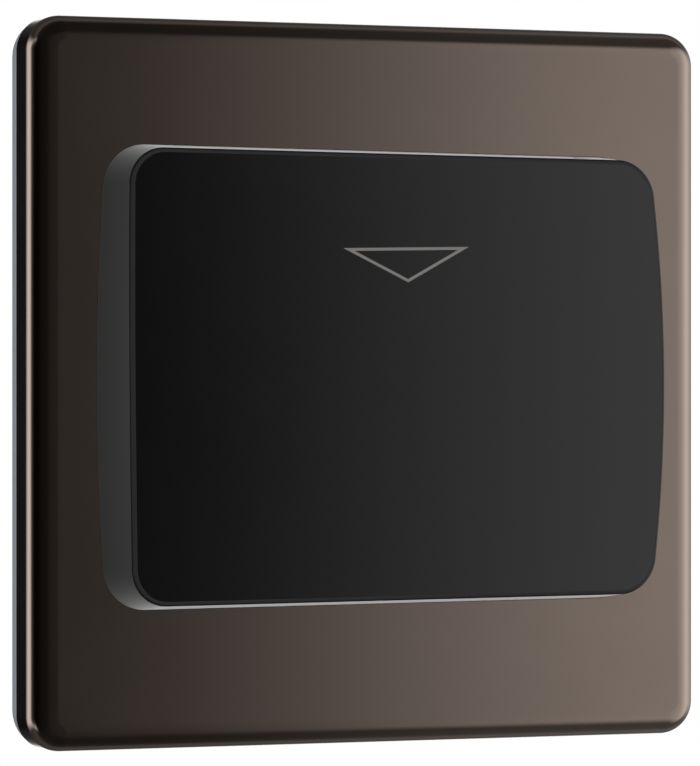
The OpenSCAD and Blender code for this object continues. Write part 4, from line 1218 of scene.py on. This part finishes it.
@dataclass
class Studio:
    """The camera at the photograph's place, an even white surround, a reflection dome and a pale floor."""

    yaw_deg: float = 22.4
    distance: float = 0.656
    focal_px: float = 4915
    frame_px: Point = (700, 766)
    middle_px: Point = (349.85, 383.4)
    sensor_mm: float = 36.0
    floor_z: float = -0.3
    floor_r: float = 1.4
    floor_sides: int = 96
    floor_colour: str = "#F2F2F0"
    floor_roughness: float = 0.9

    def build(self) -> None:
        """Sets up the camera, the surround, the dome and the floor."""
        self.place_camera()
        self.light()
        ReflectionDome().build()
        self.lay_floor()

    def place_camera(self) -> None:
        """Puts the camera level with the object's middle, turned to its left."""
        wide, high = self.frame_px
        data = bpy.data.cameras.new("camera")
        data.sensor_fit = "VERTICAL"
        data.sensor_height = self.sensor_mm
        data.lens = self.focal_px * self.sensor_mm / high
        data.shift_x = (wide / 2 - self.middle_px[0]) / high
        data.shift_y = (self.middle_px[1] - high / 2) / high
        camera = bpy.data.objects.new("camera", data)
        yaw = math.radians(self.yaw_deg)
        camera.location = (-self.distance * math.sin(yaw), -self.distance * math.cos(yaw), 0)
        camera.rotation_euler = (math.pi / 2, 0, -yaw)
        bpy.context.scene.collection.objects.link(camera)
        bpy.context.scene.camera = camera

    def light(self) -> None:
        """Surrounds the object with an even white."""
        world = bpy.data.worlds.new("studio_white")
        world.use_nodes = True
        background = world.node_tree.nodes["Background"]
        background.inputs["Color"].default_value = (1, 1, 1, 1)
        background.inputs["Strength"].default_value = 1.0
        bpy.context.scene.world = world
        bpy.context.scene.view_settings.view_transform = "Standard"

    def lay_floor(self) -> None:
        """Lays a round pale floor well below the object."""
        bm = bmesh.new()
        bmesh.ops.create_circle(bm, cap_ends=True, segments=self.floor_sides, radius=self.floor_r)
        for vert in bm.verts:
            vert.co.z = self.floor_z
        floor = new_object("floor", bm, ())
        paper = bpy.data.materials.new("pale_paper")
        paper.use_nodes = True
        shader = paper.node_tree.nodes["Principled BSDF"]
        shader.inputs["Base Color"].default_value = linear(self.floor_colour)
        shader.inputs["Roughness"].default_value = self.floor_roughness
        floor.data.materials.append(paper)
        floor.visible_glossy = False


EASED_EDGES = {
    "wall_gasket": 0.3, "mounting_frame": 0.15, "plate_clips": 0.06, "pocket_back": 0.2, "light_guide": 0.15,
    "card_lever": 0.25, "lever_pin": 0.2, "switch_case": 0.1, "switch_lid": 0.2, "switch_plunger": 0.25,
    "contact_blade": 0.05, "switch_tabs": 0.08, "switch_pins": 0.2, "rear_housing": 0.2,
    "line_terminal": 0.25, "load_terminal": 0.25, "neutral_terminal": 0.25, "earth_terminal": 0.25,
    "line_busbar": 0.1, "load_busbar": 0.1, "neutral_link": 0.1, "circuit_board": 0.1, "locator_led": 0.1,
    "dropper_capacitor": 0.8, "series_resistor": 0.15, "bridge_rectifier": 0.15,
}


SCREWS = (
    ScrewSet("pocket_screws", "holder", Facing.REAR, head_share=0.194, shank_share=0.526),
    ScrewSet("housing_screws", "base", Facing.FRONT, head_share=0.294, shank_share=0.588),
    ScrewSet("terminal_screws", "base", Facing.REAR, head_share=0.328, shank_share=0.729),
    ScrewSet("board_screws", "base", Facing.FRONT, head_share=0.175, shank_share=0.588),
)


def main() -> None:
    """Builds the studio and every piece."""
    logging.basicConfig(level=logging.INFO, format="%(message)s")
    Studio().build()
    holder = CardHolder()
    holder.build()
    ArrowMark(holder).build()
    FrontPlate(holder).build()
    LeverSpring().build()
    for screws in SCREWS:
        screws.build()
    EasedPieces(EASED_EDGES).build()


if __name__ == "__main__":
    main()
